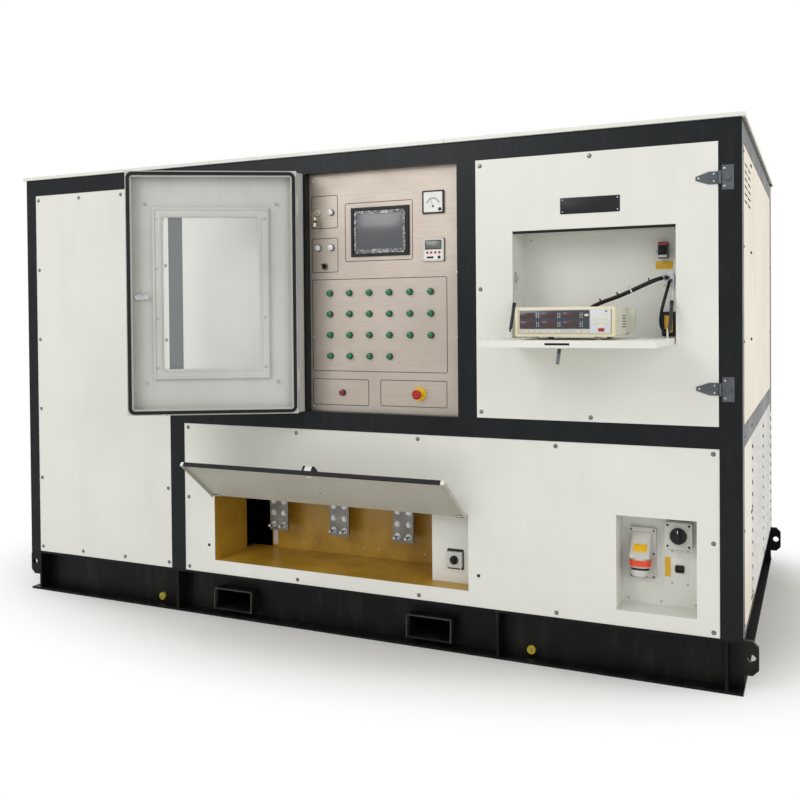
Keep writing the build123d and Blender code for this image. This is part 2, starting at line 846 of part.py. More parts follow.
with BuildPart() as door_panel:
    with BuildSketch(door_plane) as skin:
        with Locations((door_middle, 0)):
            Rectangle(door_width, door_height)
        with Locations(window_centre):
            RectangleRounded(window_width, window_height, window_corner, mode=Mode.SUBTRACT)
    extrude(skin.sketch, amount=-door_skin)
    with BuildSketch(door_plane.offset(-door_skin)) as edges:
        with Locations((door_middle, 0)):
            Rectangle(door_width, door_height)
            Rectangle(door_width - 2 * door_skin, door_height - 2 * door_skin, mode=Mode.SUBTRACT)
    extrude(edges.sketch, amount=door_skin - lip_depth)
    with BuildSketch(door_plane.offset(-lip_depth)) as lip:
        with Locations((door_middle, 0)):
            Rectangle(door_width, door_height)
            Rectangle(door_width - 2 * door_lip, door_height - 2 * door_lip, mode=Mode.SUBTRACT)
    extrude(lip.sketch, amount=door_skin)
    for z in knuckle_heights:
        with BuildSketch(door_plane.offset(knuckle_diameter)) as notch:
            with Locations((0, z)):
                Rectangle(2 * (knuckle_diameter + door_hinge_gap), knuckle_length + 2 * fit_gap)
        extrude(notch.sketch, amount=-2 * knuckle_diameter, mode=Mode.SUBTRACT)
save(door_panel, "door_panel")

with BuildPart() as door_gasket:
    with BuildSketch(door_plane.offset(-lip_depth)) as ring:
        with Locations((door_middle, 0)):
            RectangleRounded(
                door_width - 2 * gasket_inset, door_height - 2 * gasket_inset, gasket_corner
            )
            RectangleRounded(
                door_width - 2 * (gasket_inset + gasket_width),
                door_height - 2 * (gasket_inset + gasket_width),
                gasket_corner - gasket_width,
                mode=Mode.SUBTRACT,
            )
    extrude(ring.sketch, amount=-gasket_thickness)
save(door_gasket, "door_gasket")

with BuildPart() as door_window_pane:
    with BuildSketch(door_plane.offset(-door_skin)) as pane:
        with Locations(window_centre):
            RectangleRounded(
                window_width + window_frame_width, window_height + window_frame_width, window_corner
            )
    extrude(pane.sketch, amount=-pane_thickness)
save(door_window_pane, "door_window_pane")

with BuildPart() as door_window_frame:
    with BuildSketch(door_plane.offset(-door_skin)) as surround:
        with Locations(window_centre):
            Rectangle(window_width + 2 * window_frame_width, window_height + 2 * window_frame_width)
            RectangleRounded(window_width, window_height, window_corner, mode=Mode.SUBTRACT)
    extrude(surround.sketch, amount=-window_frame_thickness)
    with BuildSketch(door_plane.offset(-door_skin)) as rebate:
        with Locations(window_centre):
            RectangleRounded(
                window_width + window_frame_width, window_height + window_frame_width, window_corner
            )
    extrude(rebate.sketch, amount=-pane_thickness, mode=Mode.SUBTRACT)
save(door_window_frame, "door_window_frame")

lock_centre = (door_right - door_lip - door_lock_inset, -door_lock_drop)
with BuildPart() as door_lock:
    with BuildSketch(door_plane.offset(-door_skin)) as barrel:
        with Locations(lock_centre):
            Circle(door_lock_radius)
    extrude(barrel.sketch, amount=-door_lock_radius)
    with BuildSketch(door_plane.offset(-door_skin - door_lock_radius)) as cam:
        with Locations(lock_centre):
            SlotCenterPoint((0, 0), (door_lock_inset * 0.55, 0), 2 * door_lock_radius * 0.8)
    extrude(cam.sketch, amount=-sheet)
save(door_lock, "door_lock")

# ------------------------------------------------------------------ shelf struts
# Each hangs from a pivot on the compartment wall and slides over its own rod
shelf_axis = (front_y, compartment_bottom)
shelf_left = compartment_left + shelf_gap
shelf_right = compartment_right - shelf_gap
wall_pivot = (shelf_axis[0] + strut_wall_pivot[0], shelf_axis[1] + strut_wall_pivot[1])
shelf_pivot = (shelf_axis[0] - strut_shelf_pivot[0], shelf_axis[1] + strut_shelf_pivot[1])
strut_run = (shelf_pivot[0] - wall_pivot[0], shelf_pivot[1] - wall_pivot[1])
strut_length = hypot(*strut_run)
strut_axis = (strut_run[0] / strut_length, strut_run[1] / strut_length)
tube_start = strut_length - strut_tube_length
strut_centres = (
    compartment_left + strut_offset_from_wall, compartment_right - strut_offset_from_wall
)


def strut_plane(x, along):
    """Plane across a strut, a distance along it from its wall pivot, looking down the strut."""
    return Plane(
        origin=(x, wall_pivot[0] + strut_axis[0] * along, wall_pivot[1] + strut_axis[1] * along),
        x_dir=(1, 0, 0), z_dir=(0, *strut_axis),
    )


def side_disc(x, pivot, diameter, width, mode=Mode.ADD):
    """Disc with its axis along X about a pivot, centred on x."""
    with BuildSketch(Plane.YZ.offset(x - width / 2)) as disc:
        with Locations(pivot):
            Circle(diameter / 2)
    extrude(disc.sketch, amount=width, mode=mode)


# ------------------------------------------------------------------ service door and hinges
service_centre = ((service_left + service_right) / 2, door_centre_z)
service_gap = 2.0
strap_axis = (service_right + hinge_axis_inset, front_y - hinge_barrel_diameter / 2)
barrel_third = strap_height / 3
barrel_clear = hinge_barrel_diameter / 2 + 2 * fit_gap
compartment_centre = (
    (compartment_left + compartment_right) / 2, (compartment_bottom + compartment_top) / 2
)
compartment_width = compartment_right - compartment_left
compartment_height = compartment_top - compartment_bottom
compartment_back = front_y + compartment_depth

with BuildPart() as service_door:
    folded_panel(
        front_plane(service_centre[0], front_y, service_centre[1]),
        service_right - service_left - 2 * service_gap,
        top_rail_bottom - mid_rail_top - 2 * service_gap,
    )
    face_cut(compartment_left, compartment_right, compartment_bottom, compartment_top)
    side_disc((shelf_left + shelf_right) / 2, shelf_axis, shelf_hinge_diameter, shelf_right - shelf_left)
save(service_door, "service_door")

with BuildPart() as hinge_fixed_leaves:
    for z in strap_z:
        slab(
            front_plane(strap_axis[0] + barrel_clear + fixed_leaf_width / 2, front_y, z), fixed_leaf_width,
            fixed_leaf_height, -leaf_thickness,
        )
        for step in (-1, 1):
            with Locations((*strap_axis, z + step * (barrel_third + fit_gap))):
                Cylinder(hinge_barrel_diameter / 2, barrel_third)
            with Locations((strap_axis[0] + barrel_clear / 2,
                            front_y - leaf_thickness / 2, z + step * (barrel_third + fit_gap))):
                Box(barrel_clear, leaf_thickness, barrel_third)
        with Locations((*strap_axis, z)):
            Cylinder(hinge_pin_diameter / 2, strap_height)
        turned(
            front_plane(
                strap_axis[0] + barrel_clear + fixed_leaf_width / 2, front_y - leaf_thickness, z
            ),
            ((buffer_diameter / 2, buffer_height),),
        )
save(hinge_fixed_leaves, "hinge_fixed_leaves")

with BuildPart() as hinge_straps:
    for z in strap_z:
        with BuildSketch(front_plane(strap_axis[0], front_y, z)) as strap:
            with BuildLine():
                Polyline(
                    (-barrel_clear, -strap_height / 2),
                    (-barrel_clear, strap_height / 2),
                    (-strap_length * 0.45, strap_height / 2),
                    (-strap_length, strap_tip / 2),
                    (-strap_length, -strap_tip / 2),
                    (-strap_length * 0.45, -strap_height / 2),
                    close=True,
                )
            make_face()
        extrude(strap.sketch, amount=leaf_thickness)
        with Locations((*strap_axis, z)):
            Cylinder(hinge_barrel_diameter / 2, barrel_third)
        with Locations((strap_axis[0] - hinge_barrel_diameter / 2, front_y - leaf_thickness / 2, z)):
            Box(hinge_barrel_diameter, leaf_thickness, barrel_third)
        with Locations((*strap_axis, z)):
            Cylinder(hinge_pin_diameter / 2 + 0.1, strap_height, mode=Mode.SUBTRACT)
save(hinge_straps, "hinge_straps")

# ------------------------------------------------------------------ instrument compartment
with BuildPart() as meter_compartment:
    tub_mouth = front_plane(compartment_centre[0], front_y + panel_return, compartment_centre[1])
    with BuildSketch(tub_mouth) as tub:
        Rectangle(compartment_width + 2 * compartment_sheet, compartment_height + 2 * compartment_sheet)
        Rectangle(compartment_width, compartment_height, mode=Mode.SUBTRACT)
    extrude(tub.sketch, amount=panel_return - compartment_depth)
    slab(
        front_plane(compartment_centre[0], compartment_back, compartment_centre[1]),
        compartment_width + 2 * compartment_sheet, compartment_height + 2 * compartment_sheet,
        compartment_sheet,
    )
    with BuildSketch(front_plane(compartment_centre[0], front_y + sheet, compartment_centre[1])) as flange:
        Rectangle(compartment_width + 2 * panel_return, compartment_height + 2 * panel_return)
        Rectangle(compartment_width, compartment_height, mode=Mode.SUBTRACT)
    extrude(flange.sketch, amount=-compartment_sheet)
    with BuildSketch(front_plane(compartment_centre[0], front_y + sheet, compartment_centre[1])) as throat:
        Rectangle(compartment_width + 2 * compartment_sheet, compartment_height + 2 * compartment_sheet)
        Rectangle(compartment_width, compartment_height, mode=Mode.SUBTRACT)
    extrude(throat.sketch, amount=sheet - panel_return)
    for side, x in zip((-1, 1), strut_centres):
        with BuildSketch(Plane.YZ.offset(x + side * strut_offset_from_wall)) as pin:
            with Locations(wall_pivot):
                Circle(strut_pin_diameter / 2)
        extrude(pin.sketch, amount=-side * (strut_offset_from_wall + strut_eye_width / 2 + fit_gap))
save(meter_compartment, "meter_compartment")

toggle_pivot_y = compartment_back - breaker_depth
toggle_slot = toggle_height + 6
with BuildPart() as breaker_body:
    slab(
        front_plane(breaker_centre[0], compartment_back, breaker_centre[1]), breaker_width,
        breaker_height, -breaker_depth,
    )
    slab(
        front_plane(breaker_centre[0], toggle_pivot_y, breaker_centre[1]), toggle_width + 2,
        toggle_slot, toggle_height, mode=Mode.SUBTRACT,
    )
save(breaker_body, "breaker_body")

with BuildPart() as breaker_toggle:
    with BuildSketch(Plane.YZ.offset(breaker_centre[0] - toggle_width / 2)) as lever:
        with Locations((toggle_pivot_y + toggle_height / 2, breaker_centre[1])):
            Circle(toggle_height * 0.4)
        with Locations((toggle_pivot_y - toggle_reach / 2 + toggle_height / 4, breaker_centre[1])):
            Rectangle(toggle_reach + toggle_height / 2, toggle_height / 2)
    extrude(lever.sketch, amount=toggle_width)
save(breaker_toggle, "breaker_toggle")

gland_front = compartment_back - 4.0
with BuildPart() as cable_gland:
    slab(
        front_plane(gland_centre[0], compartment_back, gland_centre[1]), gland_plate, gland_plate, -4.0
    )
    turned(
        front_plane(gland_centre[0], gland_front, gland_centre[1]),
        ((gland_diameter / 2, gland_reach * 0.55), (gland_diameter * 0.42, gland_reach * 0.45)),
    )
save(cable_gland, "cable_gland")

with BuildPart() as power_adapter:
    with Locations((adapter_centre[0], compartment_back - adapter_depth / 2, adapter_centre[1])):
        Box(adapter_width, adapter_depth, adapter_height)
    fillet(power_adapter.edges().filter_by(Axis.Y), radius=6.0)
save(power_adapter, "power_adapter")

# ------------------------------------------------------------------ drop-leaf shelf
shelf_top = compartment_bottom + shelf_thickness
shelf_back = front_y - 2.0
shelf_front = shelf_back - shelf_reach
latch_y = shelf_front + finger_slot_depth + latch_barrel_diameter
with BuildPart() as shelf_panel:
    with Locations(((shelf_left + shelf_right) / 2, (shelf_front + shelf_back) / 2,
                    compartment_bottom + shelf_thickness / 2)):
        Box(shelf_right - shelf_left, shelf_reach, shelf_thickness)
    slab(
        front_plane(finger_slot_x, shelf_front, compartment_bottom + shelf_thickness / 2),
        finger_slot_width, finger_slot_height, finger_slot_depth, mode=Mode.SUBTRACT,
    )
    with Locations((finger_slot_x, latch_y, compartment_bottom - latch_plate_thickness / 2)):
        Box(latch_plate_width, 2 * finger_slot_depth, latch_plate_thickness)
    side_disc(
        (shelf_left + shelf_right) / 2, shelf_axis, shelf_hinge_diameter + 2 * fit_gap,
        shelf_right - shelf_left + 2, mode=Mode.SUBTRACT,
    )
    bracket_top = shelf_pivot[1] + strut_eye_diameter / 2
    for side, x in zip((1, -1), strut_centres):
        bracket_x = x + side * (strut_tube_diameter / 2 + fit_gap + strut_bracket_sheet / 2)
        with Locations((bracket_x, shelf_pivot[0], (shelf_top - 1 + bracket_top) / 2)):
            Box(strut_bracket_sheet, strut_bracket_width, bracket_top - shelf_top + 1)
save(shelf_panel, "shelf_panel")

latch_axis_z = compartment_bottom - latch_plate_thickness - latch_barrel_diameter / 2 - fit_gap
with BuildPart() as shelf_latch:
    with BuildSketch(Plane.YZ.offset(finger_slot_x - latch_lever_width / 2)) as lever:
        with Locations((latch_y, latch_axis_z)):
            Circle(latch_barrel_diameter / 2)
            with Locations(Location((0, 0), -118)):
                with Locations((latch_lever_length / 2, 0)):
                    Rectangle(latch_lever_length, 4.0)
    extrude(lever.sketch, amount=latch_lever_width)
save(shelf_latch, "shelf_latch")

def strut_rod(x):
    side_disc(x, wall_pivot, strut_eye_diameter, strut_eye_width)
    with BuildSketch(strut_plane(x, strut_eye_diameter / 4)) as rod:
        Circle(strut_rod_diameter / 2)
    extrude(rod.sketch, amount=tube_start + strut_tube_length * 0.25)
    side_disc(x, wall_pivot, strut_pin_diameter + 2 * fit_gap, strut_eye_width, mode=Mode.SUBTRACT)


def strut_tube(x):
    with BuildSketch(strut_plane(x, tube_start)) as barrel:
        Circle(strut_tube_diameter / 2)
    extrude(barrel.sketch, amount=strut_tube_length - strut_eye_diameter / 4)
    with BuildSketch(strut_plane(x, tube_start)) as bore:
        Circle(strut_rod_diameter / 2 + strut_side_gap)
    extrude(bore.sketch, amount=strut_tube_length - strut_eye_diameter, mode=Mode.SUBTRACT)
    side_disc(x, shelf_pivot, strut_eye_diameter, strut_eye_width)


with BuildPart() as left_strut_rod:
    strut_rod(strut_centres[0])
save(left_strut_rod, "left_strut_rod")
with BuildPart() as right_strut_rod:
    strut_rod(strut_centres[1])
save(right_strut_rod, "right_strut_rod")
with BuildPart() as left_strut_tube:
    strut_tube(strut_centres[0])
save(left_strut_tube, "left_strut_tube")
with BuildPart() as right_strut_tube:
    strut_tube(strut_centres[1])
save(right_strut_tube, "right_strut_tube")

# ------------------------------------------------------------------ power meter on the shelf
meter_front_y = shelf_front + meter_front_gap
meter_back_y = meter_front_y + meter_depth
meter_bottom = shelf_top + meter_foot_height
meter_x = meter_left + meter_width / 2
meter_z = meter_bottom + meter_height / 2
face_split = 18.0
button_place = (meter_left + meter_width - 46.0, meter_bottom + 24.0)

with BuildPart() as meter_case:
    slab(
        front_plane(meter_x, meter_front_y + face_split, meter_z), meter_width - 4, meter_height - 4,
        meter_depth - face_split,
    )
    fillet(meter_case.edges().filter_by(Axis.Y), radius=4.0)
    with Locations((meter_left + meter_width - 2, meter_back_y - 40.0, meter_z)):
        Box(meter_rear_bracket, 36.0, meter_height - 20, align=(Align.MIN, Align.CENTER, Align.CENTER))
    foot_y = (meter_front_y + 40.0, meter_back_y - 40.0)
    for x in (meter_left + 66.0, meter_left + meter_width - 66.0):
        for y in foot_y:
            with Locations((x, y, shelf_top)):
                Cylinder(
                    meter_foot_diameter / 2, meter_foot_height + 2,
                    align=(Align.CENTER, Align.CENTER, Align.MIN),
                )
save(meter_case, "meter_case")

with BuildPart() as meter_front:
    slab(front_plane(meter_x, meter_front_y, meter_z), meter_width, meter_height, face_split)
    fillet(meter_front.edges().filter_by(Axis.Y), radius=6.0)
    slab(
        front_plane(meter_x, meter_front_y, meter_z), meter_width - 2 * meter_bezel,
        meter_height - 2 * meter_bezel, meter_bezel / 3, mode=Mode.SUBTRACT,
    )
    slab(
        front_plane(button_place[0], meter_front_y, button_place[1]), button_width + 2 * fit_gap,
        button_height + 2 * fit_gap, face_split / 2 + button_travel, mode=Mode.SUBTRACT,
    )
save(meter_front, "meter_front")

with BuildPart() as meter_power_button:
    slab(
        front_plane(button_place[0], meter_front_y + meter_bezel / 3 - button_reach, button_place[1]),
        button_width, button_height, face_split / 2 - meter_bezel / 3 + button_reach,
    )
save(meter_power_button, "meter_power_button")

# ------------------------------------------------------------------ cables
gland_mouth_y = gland_front - gland_reach
loom_route = [
    (gland_centre[0] - 6, gland_mouth_y - fit_gap, gland_centre[1] + 4),
    (half_length - 284, -940, 1532),
    (half_length - 310, -990, 1522),
    (half_length - 355, -1015, 1500),
    (half_length - 410, -1015, 1475),
    (half_length - 465, -995, 1455),
    (half_length - 518, -965, 1440),
    (half_length - 570, -940, 1420),
    (half_length - 610, -932, 1385),
    (half_length - 630, -950, 1345),
    (half_length - 635, -995, 1325),
    (half_length - 635, meter_back_y + fit_gap, 1325),
]
lead_route = [
    (gland_centre[0] + 9, gland_mouth_y - fit_gap, gland_centre[1] - 8),
    (half_length - 269, -930, 1520),
    (half_length - 270, -965, 1495),
    (half_length - 280, -985, 1450),
    (half_length - 292, -990, 1400),
    (half_length - 298, -975, 1355),
    (half_length - 294, -940, 1330),
    (half_length - 290, -905, 1326),
    (half_length - 290, compartment_back - adapter_depth - fit_gap, 1326),
]


def corner_radii(route):
    """Largest tidy bend at each inner point: 0.45 of the shorter run over tan(turn / 2)."""
    radii = []
    for before, here, after in zip(route, route[1:], route[2:]):
        run_in = Vector(*here) - Vector(*before)
        run_out = Vector(*after) - Vector(*here)
        turn = radians(run_in.get_angle(run_out))
        radii.append(0.45 * min(run_in.length, run_out.length) * cos(turn / 2) / sin(turn / 2))
    return radii


def cable(name, route, diameter):
    """Round cable along straight runs joined by tangent arcs."""
    radii = corner_radii(route)
    print(name, "radii", [round(radius) for radius in radii])
    with BuildPart() as tube_part:
        with BuildLine() as path:
            FilletPolyline(*route, radius=radii)
        centre_line = path.wires()[0]
        with BuildSketch(Plane(origin=centre_line @ 0, z_dir=centre_line % 0)) as section:
            Circle(diameter / 2)
        sweep(section.sketch, path=centre_line)
    full_volume = centre_line.length * section.sketch.area
    print(name, "length", round(centre_line.length, 1), "volume over section times length",
          round(tube_part.part.volume / full_volume, 4))
    save(tube_part, name)


cable("meter_loom", loom_route, loom_diameter)
cable("adapter_lead", lead_route, lead_diameter)

# ------------------------------------------------------------------ cable hatch
panel_back = panel_y + sheet
hatch_back_y = front_y + hatch_back_depth
terminal_y = front_y + terminal_depth
terminal_top = terminal_bottom + terminal_height
terminal_centres = [terminal_middle_x + step * terminal_pitch for step in (-1, 0, 1)]
board_top = terminal_top + 30.0


def board(x_low, x_high, y_low, y_high, z_low, z_high):
    """Flat insulating board between two corners."""
    with Locations(((x_low + x_high) / 2, (y_low + y_high) / 2, (z_low + z_high) / 2)):
        Box(x_high - x_low, y_high - y_low, z_high - z_low)


with BuildPart() as hatch_boards:
    board(hatch_left - hatch_board, hatch_right, panel_back, hatch_back_y + hatch_board,
          hatch_bottom - hatch_board, hatch_bottom)
    board(hatch_left - hatch_board, hatch_left, panel_back, front_y + hatch_side_depth,
          hatch_bottom, board_top)
    board(hatch_back_left, hatch_back_right + hatch_board, hatch_back_y, hatch_back_y + hatch_board,
          hatch_bottom, board_top)
    board(hatch_back_right, hatch_back_right + hatch_board, front_y + switch_plate_depth + sheet,
          hatch_back_y, hatch_bottom, board_top)
    board(hatch_left - hatch_board, hatch_right, panel_back, hatch_back_y + hatch_board,
          board_top, board_top + hatch_board)
    for x in terminal_centres:
        for z in (terminal_bottom + stud_row + bolt_row_pitch, terminal_top - stud_row):
            with BuildSketch(front_plane(x, hatch_back_y, z)) as insulator:
                Circle(insulator_diameter / 2)
            extrude(insulator.sketch, amount=hatch_back_depth - terminal_depth - terminal_thickness)
save(hatch_boards, "hatch_boards")

with BuildPart() as terminal_plates:
    for x in terminal_centres:
        slab(
            front_plane(x, terminal_y, (terminal_bottom + terminal_top) / 2), terminal_width,
            terminal_height, terminal_thickness,
        )
save(terminal_plates, "terminal_plates")

bolt_rows = int((terminal_height - stud_row) // bolt_row_pitch)
with BuildPart() as terminal_bolts:
    for x in terminal_centres:
        for side in (-1, 1):
            bolt_x = x + side * stud_spacing / 2
            for row in range(bolt_rows + 1):
                z = terminal_bottom + stud_row + row * bolt_row_pitch
                with BuildSketch(front_plane(bolt_x, terminal_y, z)) as head:
                    RegularPolygon(bolt_across_flats / 2, 6, major_radius=False)
                extrude(head.sketch, amount=bolt_head_height)
            with BuildSketch(front_plane(bolt_x, terminal_y, terminal_bottom + stud_row)) as stud:
                Circle(stud_diameter / 2)
            extrude(stud.sketch, amount=bolt_head_height + stud_reach)
save(terminal_bolts, "terminal_bolts")

switch_plate_y = front_y + switch_plate_depth
recess_centre = ((recess_left + recess_right) / 2, (recess_bottom + recess_top) / 2)
recess_width = recess_right - recess_left
recess_height = recess_top - recess_bottom
recess_back = front_y + recess_depth
with BuildPart() as recess_pans:
    board(hatch_back_right, hatch_right + sheet, switch_plate_y, switch_plate_y + sheet,
          hatch_bottom, board_top)
    board(hatch_right, hatch_right + sheet, panel_back, switch_plate_y, hatch_bottom, board_top)
    with BuildSketch(front_plane(recess_centre[0], panel_back, recess_centre[1])) as pan:
        Rectangle(recess_width + 2 * sheet, recess_height + 2 * sheet)
        Rectangle(recess_width, recess_height, mode=Mode.SUBTRACT)
    extrude(pan.sketch, amount=panel_back - recess_back)
    slab(
        front_plane(recess_centre[0], recess_back, recess_centre[1]), recess_width + 2 * sheet,
        recess_height + 2 * sheet, sheet,
    )
save(recess_pans, "recess_pans")

isolator_front = recess_back - isolator_depth
hatch_switch_front = switch_plate_y - hatch_switch_depth
with BuildPart() as switch_bodies:
    slab(
        front_plane(isolator_centre[0], recess_back, isolator_centre[1]), isolator_size, isolator_size,
        -isolator_depth,
    )
    slab(
        front_plane(hatch_switch_centre[0], switch_plate_y, hatch_switch_centre[1]),
        hatch_switch_size, hatch_switch_size, -hatch_switch_depth,
    )
    fillet(switch_bodies.edges().filter_by(Axis.Y), radius=5.0)
    for place in (key_switch_centre, mode_selector_centre):
        turned(on_plate(place), ((switch_diameter / 2, switch_bezel_height),))
save(switch_bodies, "switch_bodies")


def turn_knob(plane, diameter, height):
    """Round knob with a raised grip bar across it."""
    turned(plane, ((diameter / 2, height * 0.45),))
    slab(plane.offset(height * 0.45), diameter * 0.26, diameter * 0.9, -height * 0.55)


with BuildPart() as isolator_knob:
    turn_knob(
        front_plane(isolator_centre[0], isolator_front - fit_gap, isolator_centre[1]),
        isolator_knob_diameter, isolator_knob_height,
    )
save(isolator_knob, "isolator_knob")

with BuildPart() as hatch_switch_knob:
    turn_knob(
        front_plane(hatch_switch_centre[0], hatch_switch_front - fit_gap, hatch_switch_centre[1]),
        hatch_knob_diameter, hatch_knob_height,
    )
save(hatch_switch_knob, "hatch_switch_knob")

# ------------------------------------------------------------------ supply socket and inlet
barrel_tilt = radians(socket_barrel_tilt)
barrel_root = (socket_centre[0], recess_back - socket_barrel_out, socket_centre[1])
barrel_plane = Plane(
    origin=barrel_root, x_dir=(1, 0, 0), z_dir=(0, -sin(barrel_tilt), -cos(barrel_tilt))
)
ring_start = socket_barrel_length * 0.22
with BuildPart() as socket_body:
    slab(
        front_plane(socket_centre[0], recess_back, socket_centre[1]), socket_width, socket_height,
        -socket_plate,
    )
    fillet(socket_body.edges().filter_by(Axis.Y), radius=6.0)
    with BuildSketch(Plane.YZ.offset(socket_centre[0] - socket_width * 0.36)) as hood:
        with BuildLine():
            Polyline(
                (recess_back - socket_plate, socket_centre[1] + socket_height * 0.42),
                (recess_back - socket_plate - 6, socket_centre[1] + socket_height * 0.42),
                (barrel_root[1] - socket_barrel_diameter * 0.45, barrel_root[2] + 6),
                (barrel_root[1] - socket_barrel_diameter * 0.45, barrel_root[2] - 4),
                (recess_back - socket_plate, barrel_root[2] - 12),
                close=True,
            )
        make_face()
    extrude(hood.sketch, amount=socket_width * 0.72)
    with BuildSketch(barrel_plane) as barrel:
        Circle(socket_barrel_diameter / 2)
    extrude(barrel.sketch, amount=socket_barrel_length)
    with Locations((inlet_centre[0], recess_back, inlet_centre[1])):
        Box(
            inlet_width, inlet_reach, inlet_height, align=(Align.CENTER, Align.MAX, Align.CENTER)
        )
        Box(
            inlet_width - 2 * inlet_wall, inlet_reach, inlet_height - 2 * inlet_wall,
            align=(Align.CENTER, Align.MAX, Align.CENTER), mode=Mode.SUBTRACT,
        )
save(socket_body, "socket_body")

with BuildPart() as socket_ring:
    with BuildSketch(barrel_plane.offset(ring_start)) as ring:
        Circle(socket_ring_diameter / 2)
        Circle(socket_barrel_diameter / 2 + fit_gap, mode=Mode.SUBTRACT)
    extrude(ring.sketch, amount=socket_ring_width)
save(socket_ring, "socket_ring")

# ------------------------------------------------------------------ hatch flap
flap_turn = radians(flap_open_angle)
flap_plane = Plane(
    origin=((hatch_left + hatch_right) / 2, *flap_axis), x_dir=(1, 0, 0),
    z_dir=(0, -cos(flap_turn), sin(flap_turn)),
)
flap_face = flap_hinge_diameter / 2 - 1.0
flap_latch_y = -flap_length + flap_latch_height
latch_shaft = 12.0
with BuildPart() as flap_panel:
    with BuildSketch(flap_plane.offset(-flap_face)) as skin:
        with Locations((0, -flap_length / 2)):
            Rectangle(flap_width, flap_length)
    extrude(skin.sketch, amount=-flap_skin)
    with BuildSketch(flap_plane.offset(-flap_face - flap_skin)) as folds:
        with Locations((0, -flap_length / 2 - flap_hinge_diameter / 4)):
            Rectangle(flap_width, flap_length - flap_hinge_diameter / 2)
        with Locations((0, -flap_length / 2 - flap_hinge_diameter / 4 + flap_skin)):
            Rectangle(flap_width - 2 * flap_skin, flap_length - flap_hinge_diameter / 2 + flap_skin,
                      mode=Mode.SUBTRACT)
    extrude(folds.sketch, amount=-flap_return)
    with BuildSketch(Plane.YZ.offset(hatch_left + flap_side_gap)) as hinge_barrel:
        with Locations(flap_axis):
            Circle(flap_hinge_diameter / 2)
    extrude(hinge_barrel.sketch, amount=flap_width)
    with BuildSketch(flap_plane) as latch_hole:
        with Locations((0, flap_latch_y)):
            Circle(latch_shaft / 2 + fit_gap)
    extrude(latch_hole.sketch, amount=-2 * flap_return, mode=Mode.SUBTRACT)
save(flap_panel, "flap_panel")

with BuildPart() as flap_latch:
    with BuildSketch(flap_plane.offset(-flap_face + fit_gap)) as paddle:
        with Locations((0, flap_latch_y)):
            Rectangle(flap_latch_width, flap_latch_height)
    extrude(paddle.sketch, amount=flap_latch_thickness)
    with BuildSketch(flap_plane.offset(-flap_face + fit_gap)) as shaft:
        with Locations((0, flap_latch_y)):
            Circle(latch_shaft / 2)
    extrude(shaft.sketch, amount=-flap_skin - 6 * fit_gap)
    with BuildSketch(flap_plane.offset(-flap_face - flap_skin - 5 * fit_gap)) as pawl:
        with Locations((flap_pawl_length / 2 - latch_shaft / 2, flap_latch_y)):
            Rectangle(flap_pawl_length, latch_shaft)
    extrude(pawl.sketch, amount=-sheet)
save(flap_latch, "flap_latch")

# ------------------------------------------------------------------ fan, resistors, contactors
fan_y = (side_seam_y + post_inner_y) / 2
fan_plane = Plane(origin=(fan_x, fan_y, fan_z), x_dir=(0, 1, 0), z_dir=(1, 0, 0))
shroud_radius = fan_diameter / 2
motor_start = fan_shroud_width / 2 + fan_hub_width / 2 + 12.0
with BuildPart() as fan_shroud:
    with BuildSketch(fan_plane) as bulkhead:
        with Locations((0, base_height + fan_panel_height / 2 - fan_z)):
            Rectangle(fan_panel_width, fan_panel_height)
        Circle(shroud_radius, mode=Mode.SUBTRACT)
    extrude(bulkhead.sketch, amount=fan_panel_sheet)
    with BuildSketch(fan_plane) as shroud:
        Circle(shroud_radius + fan_shroud_wall)
        Circle(shroud_radius, mode=Mode.SUBTRACT)
    extrude(shroud.sketch, amount=fan_shroud_width)
    with BuildSketch(fan_plane.offset(motor_start)) as motor:
        Circle(motor_diameter / 2)
    extrude(motor.sketch, amount=motor_length)
    with BuildSketch(fan_plane.offset(motor_start)) as arms:
        Rectangle(2 * shroud_radius + 2 * fan_shroud_wall, fan_arm_width)
        Rectangle(fan_arm_width, 2 * shroud_radius + 2 * fan_shroud_wall)
    extrude(arms.sketch, amount=fan_arm_thickness)
    with BuildSketch(fan_plane.offset(fan_shroud_width)) as arm_feet:
        with PolarLocations(shroud_radius + fan_shroud_wall / 2, 4):
            Rectangle(fan_shroud_wall, fan_arm_width)
    extrude(arm_feet.sketch, amount=motor_start - fan_shroud_width + fan_arm_thickness)
    with BuildSketch(fan_plane.offset(motor_start - 1)) as shaft_bore:
        Circle(fan_shaft_diameter / 2 + fan_shaft_gap)
    extrude(shaft_bore.sketch, amount=motor_length / 2, mode=Mode.SUBTRACT)
save(fan_shroud, "fan_shroud")


def blade_plane(angle, radius, pitch):
    """Plane across a blade at a radius, with its x along the blade's chord."""
    around = radians(angle)
    radial = Vector(0, cos(around), sin(around))
    tangent = Vector(0, -sin(around), cos(around))
    chord = Vector(1, 0, 0) * cos(radians(pitch)) + tangent * sin(radians(pitch))
    middle = Vector(fan_x + fan_shroud_width / 2, fan_y, fan_z)
    return Plane(origin=middle + radial * radius, x_dir=chord, z_dir=radial)


